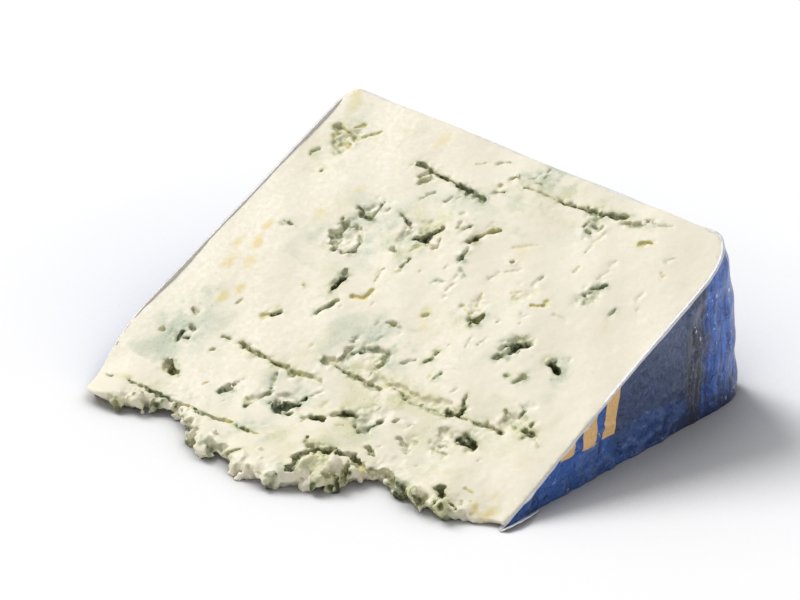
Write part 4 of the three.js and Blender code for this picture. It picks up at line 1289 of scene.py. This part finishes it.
def foil_material():
    """Printed foil: navy and royal blue zones, a slate zone of painted reflection, painted shade along the
    folds and towards the foot, plain gold bars, creases lighter from wear and painted highlight, painted
    glints and a white cut edge.
    """
    settings = cheese_settings()
    material, tree, shader = new_material("printed foil")
    place = tree.add("ShaderNodeTexCoord").outputs["Object"]
    x, y, z = tree.split(place)
    crease, rim, face, out = (tree.stored(layer) for layer in ("crease", "rim", "face", "out"))
    cloud = tree.noise(place, 90, 3)
    fine = tree.noise(place, 900, 3, 0.65)
    to_rind = (y - float(SLICE_ORIGIN[1] * MM)) / MM
    height = z / MM
    colour, royal_glint_zone = printed_zones(tree, cloud, to_rind, height, face)

    # Creases lighter from wear and painted highlight, painted shade and highlight on the folds, the bars
    # and the painted glints
    colour = tree.mix(tree.ramp(fine * 0.35 + crease, 0.7, 1.2, 0, 0.5), colour, CREASE_WEAR_AND_HIGHLIGHT)
    # Painted shade in the folds and painted highlight on them, from noise
    folded = tree.noise(place, 320, 4, 0.7, 2.4)
    colour = tree.mix(tree.ramp(folded, 0.47, 0.37, 0, 0.75), colour, FOLD_PAINTED_SHADE)
    colour = tree.mix(tree.ramp(folded, 0.57, 0.68, 0, 0.6), colour, FOLD_PAINTED_HIGHLIGHT)
    printed = gold_bars(tree, to_rind, height, face)
    colour = tree.mix(printed * 0.95, colour, settings.gold)
    # Painted glints: white highlights on the crinkles, more of them on the royal blue of the right face
    glint_noise = tree.noise(place, 650, 2, 0.6, 1.2)
    bright = royal_glint_zone * 0.05 + (crease * 0.12 + (cloud * 0.25 + glint_noise))
    colour = tree.mix(tree.ramp(bright, 0.87, 0.96, 0, 0.85), colour, PAINTED_GLINT)

    # The white cut edge, its torn stretch on the left, and the foil's inner side
    rim = (cloud - 0.5) * 0.6 + rim
    edge = tree.ramp(rim, 0.3, 0.5, 1.0, 0.0)
    colour = tree.mix(edge, colour, CUT_EDGE)
    on_left = tree.ramp(x, float(SLICE_ORIGIN[0] + 3) * MM, float(SLICE_ORIGIN[0] + 1) * MM)
    torn = tree.mix(tree.ramp(rim, 0.5, 0.8), TORN_LIGHT, TORN_TAN)
    colour = tree.mix(on_left * tree.ramp(rim, 0.9, 1.4, 1.0, 0.0), colour, torn)
    colour = tree.mix(out, FOIL_INSIDE, colour)

    metal = (edge * -0.35 + 0.35) * tree.ramp(printed, 0, 1, 1, 0.2)
    creases = tree.noise(place, 380, 4, 0.65, 2.2)
    tree.plug(colour, shader.inputs["Base Color"])
    tree.plug(metal, shader.inputs["Metallic"])
    tree.plug(tree.ramp(cloud, 0.3, 0.7, 0.3, 0.46), shader.inputs["Roughness"])
    tree.plug(tree.relief(creases, 0.9, 0.55 * MM), shader.inputs["Normal"])
    shader.inputs["Coat Weight"].default_value = 0.35
    shader.inputs["Coat Roughness"].default_value = 0.18
    return material


# The foil's sheet

def outline_points():
    """Half the wheel's outline as x and radius, from the left face round to the right face."""
    left_face = np.arange(FOIL_START, WHEEL_RADIUS - LEFT_SHOULDER[0], 1.0)
    points = [(DIMPLE_DEPTH * max(0.0, 1 - r / DIMPLE_RADIUS) ** 2, float(r)) for r in left_face]

    def shoulder(size, face, sign):
        radial, axial = size
        for angle in np.linspace(0, math.pi / 2, 12):
            yield (face - sign * axial * (1 - math.cos(angle)),
                   WHEEL_RADIUS - radial * (1 - math.sin(angle)))
    points += list(shoulder(LEFT_SHOULDER, 0.0, -1))
    points += list(shoulder(RIGHT_SHOULDER, WHEEL_HEIGHT, 1))[::-1]
    right_face = np.arange(WHEEL_RADIUS - RIGHT_SHOULDER[0] - 1, FOIL_END, -1.0)
    return points + [(WHEEL_HEIGHT, float(r)) for r in right_face]


def outline_curve():
    """The outline as a curve in the plane of X and Y, in metres."""
    curve = bpy.data.curves.new("wheel outline", "CURVE")
    curve.dimensions = "3D"
    points = outline_points()
    spline = curve.splines.new("POLY")
    spline.points.add(len(points) - 1)
    for point, (x, radius) in zip(spline.points, points):
        point.co = (x * MM, radius * MM, 0, 1)
    piece = bpy.data.objects.new("wheel outline", curve)
    bpy.context.scene.collection.objects.link(piece)
    return piece


def corner_flap():
    """Points and quads of the torn white corner that curls out from under the thin tip."""
    rows, across = 25, 7
    points, quads = [], []
    for row, share in enumerate(np.linspace(0, 1, rows)):
        y = CUT_START[1] - 0.8 + FLAP_LENGTH * share
        reach = FLAP_REACH * math.sin(math.pi * min(1.0, 0.12 + 0.88 * share)) ** 0.6
        for column, out in enumerate(np.linspace(0, 1, across)):
            ripple = 0.06 * math.sin(2.6 * y) * out
            rise = 0.15 + 0.6 * reach * out ** 2 + ripple
            points.append((WHEEL_HEIGHT + 0.35 + reach * out, y + 0.8 * out, rise))
            if row and column:
                last = len(points) - 1
                quads.append((last, last - 1, last - across - 1, last - across))
    return row_points(np.array(points)), np.array(quads)


def foil_angles(tree, take, axial, radius):
    """The turns round the wheel at which the foil starts, off the board, and ends, just above the cut."""
    start = axial * ((CUT_START[1] - CUT_START[0]) / WHEEL_HEIGHT) + CUT_START[0] * MM
    over_rind = tree.ramp(radius, 90 * MM, 94 * MM) * tree.ramp(axial, 94 * MM, 88 * MM)
    lift = start * -CUT_SLOPE + (over_rind * (-0.55 * MM) + take["Above Cut"])
    lean = lift * math.cos(CUT_ANGLE) / radius
    lean = tree.math("MAXIMUM", tree.math("MINIMUM", lean, 0.99), -0.99)
    foot = tree.math("ARCSINE", tree.math("MINIMUM", take["Off Board"] / radius, 0.9))
    top = tree.math("MAXIMUM", tree.math("ARCSINE", lean) + CUT_ANGLE, foot + 0.0004)
    return foot, top


def foil_folds(tree, take, from_left, reach, turn):
    """Pleats over the right shoulder, as the model has them, and slacker folds over the rind."""
    wave = tree.math("SINE", from_left * 0.12) * 1.5
    pleat = tree.math("SINE", turn * PLEATS_A_TURN + wave) * 0.5 + 0.5
    over_right = tree.ramp(from_left, WHEEL_HEIGHT * 0.55, WHEEL_HEIGHT)
    pleated = tree.math("POWER", pleat, 2.0) * over_right * take["Pleat Depth"]
    slack = tree.math("SINE", turn * SLACK_FOLDS_A_TURN + from_left * 0.21) * 0.5 + 0.5
    return (pleated + slack * (SLACK_DEPTH * MM)) * tree.ramp(reach, 62, 84)


def foil_crinkles(tree, flat, upward, reach):
    """Sharp ridges at two scales: how high they stand, and how creased the foil is."""
    moved = tree.vector("MULTIPLY_ADD", tree.wobble(flat, 130.0, 2.0), (0.016, 0.016, 0.0), flat)

    def ridges(scale, sharpness):
        cells = tree.add("ShaderNodeTexVoronoi", ("Vector", moved), ("Scale", scale),
                         feature="DISTANCE_TO_EDGE", voronoi_dimensions="2D")
        return tree.ramp(cells.outputs["Distance"], 0.0, sharpness, 1.0, 0.0)
    large = ridges(120.0, 0.28)
    small = ridges(380.0, 0.32) * tree.ramp(tree.noise(flat, 260, 1), 0.4, 0.6)
    upper = tree.ramp(upward * tree.ramp(reach, 74, 80, 1.0, 0.0), 0.25, 0.5)
    smooth_zone = upper * tree.ramp(reach, 48, 58)
    rough = (smooth_zone * -0.85 + 1.0) * tree.ramp(tree.noise(flat, 55, 1), 0.3, 0.6, 0.45, 1.0)
    return (small * 0.45 + large) * rough, tree.math("MAXIMUM", large, small) * rough


def foil_tree(material):
    """Sweeps a grid along the outline and round the wheel, from the board up to the cut, and crinkles it."""
    group, tree, take, made = new_group(
        "Foil Sheet", "GeometryNodeTree",
        [("Outline", OBJECT, None), ("Columns", WHOLE_NUMBER, FOIL_COLUMNS),
         ("Rows", WHOLE_NUMBER, FOIL_ROWS), ("Gap", NUMBER, 0.0),
         ("Crinkle Depth", NUMBER, 0.0), ("Pleat Depth", NUMBER, 0.0),
         ("Above Cut", NUMBER, 0.0), ("Off Board", NUMBER, 0.0)],
        [("Geometry", GEOMETRY)])
    grid = tree.add("GeometryNodeMeshGrid", 1.0, 1.0, take["Columns"], take["Rows"])
    grid_x, grid_y, _ = tree.split(tree.add("GeometryNodeInputPosition"))
    along, upward = grid_x + 0.5, grid_y + 0.5
    outline = tree.add("GeometryNodeObjectInfo", take["Outline"])
    sample = tree.add("GeometryNodeSampleCurve", ("Curves", outline.outputs["Geometry"]), ("Factor", along),
                      mode="FACTOR", use_all_curves=False)
    axial, radius, _ = tree.split(sample.outputs["Position"])
    tangent_x, tangent_r, _ = tree.split(sample.outputs["Tangent"])
    normal_x, normal_r = tangent_r * -1.0, tangent_x
    from_left, reach = axial / MM, radius / MM
    foot, top = foil_angles(tree, take, axial, radius)
    turn = foot + upward * (top - foot)

    bulge = foil_folds(tree, take, from_left, reach, turn)
    flat = tree.join(along * 0.25, turn * (radius * tree.ramp(reach, 70, 84, 1.0, 0.35)), 0.0)
    crinkle, creased = foil_crinkles(tree, flat, upward, reach)
    pinned = tree.ramp(upward, 0.93, 1.0, 1.0, 0.0) * (crinkle * take["Crinkle Depth"])
    out = take["Gap"] + bulge + pinned
    far = radius + normal_r * out
    x = axial + normal_x * out
    y = far * tree.math("COSINE", turn)
    z = tree.math("MAXIMUM", far * tree.math("SINE", turn), take["Off Board"])
    place = tree.vector("ADD", tree.join(x, y, z), tuple(SLICE_ORIGIN * MM))

    mesh = tree.store(grid.outputs["Mesh"], "crease", creased)
    mesh = tree.store(mesh, "rim", (top - turn) * reach)
    mesh = tree.store(mesh, "face", tree.ramp(from_left, WHEEL_HEIGHT - 7, WHEEL_HEIGHT - 4))
    placed = tree.add("GeometryNodeSetPosition", ("Geometry", mesh), ("Position", place))
    merged = tree.add("GeometryNodeMergeByDistance", ("Geometry", placed), ("Distance", 0.01 * MM))
    smooth = tree.add("GeometryNodeSetShadeSmooth", ("Geometry", merged))
    whole = tree.add("GeometryNodeRealizeInstances", ("Geometry", smooth))
    painted = tree.add("GeometryNodeSetMaterial", ("Geometry", whole), ("Material", material))
    tree.plug(painted, made["Geometry"])
    return group


def add_tree(piece, group, **values):
    """A Geometry Nodes modifier with its inputs set by their sockets' identifiers."""
    modifier = piece.modifiers.new(group.name, "NODES")
    modifier.node_group = group
    known = {item.name: item.identifier for item in group.interface.items_tree if item.item_type == "SOCKET"}
    for name, value in values.items():
        modifier[known[name.replace("_", " ")]] = value
    return modifier


def crumb_tree(material):
    """Scatters lumpy crumbs where the paste is mouldy or broken, each half sunk in the paste."""
    group, tree, take, made = new_group(
        "Scattered Crumbs", "GeometryNodeTree",
        [("Paste", OBJECT, None), ("Density", NUMBER, 0.0), ("Smallest", NUMBER, 0.0),
         ("Largest", NUMBER, 0.0), ("Seed", WHOLE_NUMBER, 11)],
        [("Geometry", GEOMETRY)])
    paste = tree.add("GeometryNodeObjectInfo", take["Paste"])
    mould, broken = tree.stored("mould"), tree.stored("broken")
    _, _, facing_up = tree.split(tree.add("GeometryNodeInputNormal"))
    _, _, height = tree.split(tree.add("GeometryNodeInputPosition"))
    wanted = tree.ramp(mould, 0.4, 0.8) * 0.1 + tree.ramp(broken, 0.3, 0.9, 0, 0.22)
    wanted = wanted * tree.ramp(facing_up, 0.0, 0.4) * tree.ramp(height, 0.8 * MM, 1.2 * MM)
    scatter = tree.add("GeometryNodeDistributePointsOnFaces", ("Mesh", paste.outputs["Geometry"]),
                       ("Density", take["Density"] * wanted), ("Seed", take["Seed"]))
    size = tree.add("FunctionNodeRandomValue", data_type="FLOAT")
    tree.plug(take["Smallest"], size.inputs[2])
    tree.plug(take["Largest"], size.inputs[3])
    turn = tree.add("FunctionNodeRandomValue", data_type="FLOAT_VECTOR")
    turn.inputs[1].default_value = (math.tau,) * 3
    ball = tree.add("GeometryNodeMeshIcoSphere", ("Radius", 1.0), ("Subdivisions", 2))
    crumbs = tree.add("GeometryNodeInstanceOnPoints", ("Points", scatter.outputs["Points"]),
                      ("Instance", ball.outputs["Mesh"]), ("Rotation", turn.outputs[0]),
                      ("Scale", size.outputs[1]))
    whole = tree.add("GeometryNodeRealizeInstances", ("Geometry", crumbs))
    lumps = tree.wobble(tree.add("GeometryNodeInputPosition"), 2400.0, 1.0)
    lumps = tree.vector("SCALE", lumps, ("Scale", 1.6 * MM))
    lumpy = tree.add("GeometryNodeSetPosition", ("Geometry", whole), ("Offset", lumps))
    shade = tree.add("FunctionNodeRandomValue", data_type="FLOAT")
    shade.inputs[2].default_value = 0.0
    shade.inputs[3].default_value = 0.6
    island = tree.add("GeometryNodeInputMeshIsland").outputs["Island Index"]
    tree.plug(island, next(s for s in shade.inputs if s.name == "ID"))
    paler = tree.store(lumpy, "mould", mould * Value(tree, shade.outputs[1]))
    rounded = tree.add("GeometryNodeSubdivisionSurface", ("Mesh", paler), ("Level", 1))
    smooth = tree.add("GeometryNodeSetShadeSmooth", ("Geometry", rounded))
    painted = tree.add("GeometryNodeSetMaterial", ("Geometry", smooth), ("Material", material))
    tree.plug(painted, made["Geometry"])
    return group


# Operators

class CHEESE_OT_make_paste(bpy.types.Operator):
    """Make the wedge of blue-veined paste, with its cavities, needle tracks and broken tip"""
    bl_idname = "cheese.make_paste"
    bl_label = "Make the paste"

    def execute(self, context):
        cell = cheese_settings().paste_cell / MM * 1.0
        paste = Paste()
        points, quads = paste_surface(paste, cell)
        piece = mesh_piece("blue_cheese", row_points(points), quads, curd_material())
        triangles = 2 * len(quads)
        if triangles > PASTE_TRIANGLES:
            thin = piece.modifiers.new("thin flat parts", "DECIMATE")
            thin.ratio = PASTE_TRIANGLES / triangles
            bake_modifiers(piece)
            settle_walls(piece.data)
        keep_in_box(piece.data)
        piece.data.set_sharp_from_angle(angle=SHARP_EDGE)
        store_looks(piece.data, paste.looks(slice_points(piece.data)))
        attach(piece, "root")
        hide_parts("cheese")
        return {"FINISHED"}


class CHEESE_OT_make_crumbs(bpy.types.Operator):
    """Scatter mouldy crumbs of curd in the paste's cavities and along its broken tip"""
    bl_idname = "cheese.make_crumbs"
    bl_label = "Make the crumbs"

    def execute(self, context):
        paste = bpy.data.objects["blue_cheese"]
        piece = empty_piece("curd_crumbs")
        add_tree(piece, crumb_tree(paste.data.materials[0]), Paste=paste,
                 Density=cheese_settings().crumbs * EACH_SQUARE_CENTIMETRE,
                 Smallest=SMALLEST_CRUMB * MM, Largest=LARGEST_CRUMB * MM)
        bake_modifiers(piece)
        keep_in_box(piece.data)
        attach(piece, "root")
        return {"FINISHED"}


class CHEESE_OT_make_foil(bpy.types.Operator):
    """Make the printed foil round the wedge's flat sides and rind"""
    bl_idname = "cheese.make_foil"
    bl_label = "Make the foil"

    def execute(self, context):
        settings = cheese_settings()
        material = foil_material()
        wrap = empty_piece("foil_wrap")
        outline = outline_curve()
        add_tree(wrap, foil_tree(material), Outline=outline, Columns=FOIL_COLUMNS, Rows=FOIL_ROWS,
                 Gap=FOIL_GAP * MM, Crinkle_Depth=settings.foil_crinkle, Pleat_Depth=PLEAT_DEPTH * MM,
                 Above_Cut=FOIL_ABOVE_CUT * MM, Off_Board=FOIL_OFF_BOARD * MM)
        give_thickness(wrap, settings.foil_thickness, 1.0)
        bpy.data.objects.remove(outline)
        store_looks(wrap.data, {"out": facing_out(wrap)})
        keep_in_box(wrap.data)
        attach(wrap, "root")
        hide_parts("foil")

        corner = mesh_piece("foil_corner", *corner_flap(), material)
        give_thickness(corner, FLAP_THICKNESS * MM, 0.0)
        keep_in_box(corner.data)
        store_looks(corner.data, {"out": np.ones(len(corner.data.vertices))})
        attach(corner, "root")
        return {"FINISHED"}


class CHEESE_OT_set_stage(bpy.types.Operator):
    """Set the pale floor, the soft lights and the camera"""
    bl_idname = "cheese.set_stage"
    bl_label = "Set the stage"

    def execute(self, context):
        self.lay_floor()
        self.fill_sky(context.scene)
        self.hang_key(context.scene)
        self.point_camera(context.scene)
        context.scene.view_settings.view_transform = "Standard"
        return {"FINISHED"}

    def lay_floor(self):
        """A white floor that greys where the wedge shuts out the sky."""
        material, tree, shader = new_material("pale floor")
        open_air = tree.add("ShaderNodeAmbientOcclusion", ("Distance", FLOOR_SHADE_REACH * MM), samples=8)
        tree.plug(tree.mix(tree.ramp(open_air.outputs["AO"], 0.5, 1.0), FLOOR_SHADE, FLOOR_WHITE),
                  shader.inputs["Base Color"])
        shader.inputs["Roughness"].default_value = 0.9
        shader.inputs["Specular IOR Level"].default_value = 0.1
        corners = FLOOR_REACH * MM * np.array([(-1, -1, 0), (1, -1, 0), (1, 1, 0), (-1, 1, 0)], float)
        floor = mesh_piece("floor", corners, np.array([[0, 1, 2, 3]]), material)

    def fill_sky(self, scene):
        """Even white light from all round, which the camera sees brighter than it shines."""
        world = bpy.data.worlds.new("soft studio")
        scene.world = world
        world.use_nodes = True
        background = next(n for n in world.node_tree.nodes if n.type == "BACKGROUND")
        background.inputs["Color"].default_value = (1.0, 1.0, 1.0, 1.0)
        tree = Tree(world.node_tree)
        straight = Value(tree, tree.add("ShaderNodeLightPath").outputs["Is Camera Ray"])
        tree.plug(straight * (SKY_SEEN - SKY_LIGHT) + SKY_LIGHT, background.inputs["Strength"])

    def hang_key(self, scene):
        """A wide soft light from the upper left, as strong everywhere."""
        light = bpy.data.lights.new("key", "SUN")
        light.angle = KEY_ANGLE
        light.energy = KEY_STRENGTH
        lamp = bpy.data.objects.new("key", light)
        scene.collection.objects.link(lamp)
        lamp.location = Vector(KEY_DIRECTION)
        lamp.rotation_euler = Vector(KEY_DIRECTION).to_track_quat("Z", "Y").to_euler()

    def point_camera(self, scene):
        settings = cheese_settings()
        lens = bpy.data.cameras.new("camera")
        lens.sensor_width = 36.0
        lens.lens = settings.focal_length
        lens.clip_end = 20.0
        camera = bpy.data.objects.new("camera", lens)
        scene.collection.objects.link(camera)
        scene.camera = camera
        azimuth, elevation = settings.camera_azimuth, settings.camera_elevation
        back = Vector((math.sin(azimuth) * math.cos(elevation), -math.cos(azimuth) * math.cos(elevation),
                       math.sin(elevation)))
        camera.location = Vector(settings.camera_aim) + back * settings.camera_distance
        camera.rotation_euler = back.to_track_quat("Z", "Y").to_euler()


class CHEESE_PT_panel(bpy.types.Panel):
    """Makes the wedge piece by piece"""
    bl_label = "Blue Cheese Wedge"
    bl_space_type = "VIEW_3D"
    bl_region_type = "UI"
    bl_category = "Cheese"

    def draw(self, context):
        for operator in OPERATORS:
            self.layout.operator(operator.bl_idname)
        for name in CheeseWedgeSettings.__annotations__:
            self.layout.prop(context.scene.cheese_wedge, name)


OPERATORS = (CHEESE_OT_make_paste, CHEESE_OT_make_crumbs, CHEESE_OT_make_foil, CHEESE_OT_set_stage)
CLASSES = (CheeseWedgeSettings, *OPERATORS, CHEESE_PT_panel)


def register():
    for cls in CLASSES:
        bpy.utils.register_class(cls)
    bpy.types.Scene.cheese_wedge = PointerProperty(type=CheeseWedgeSettings)


def unregister():
    del bpy.types.Scene.cheese_wedge
    for cls in reversed(CLASSES):
        bpy.utils.unregister_class(cls)


def main():
    register()
    bpy.ops.cheese.make_paste()
    bpy.ops.cheese.make_crumbs()
    bpy.ops.cheese.make_foil()
    bpy.ops.cheese.set_stage()


if __name__ == "__main__":
    main()
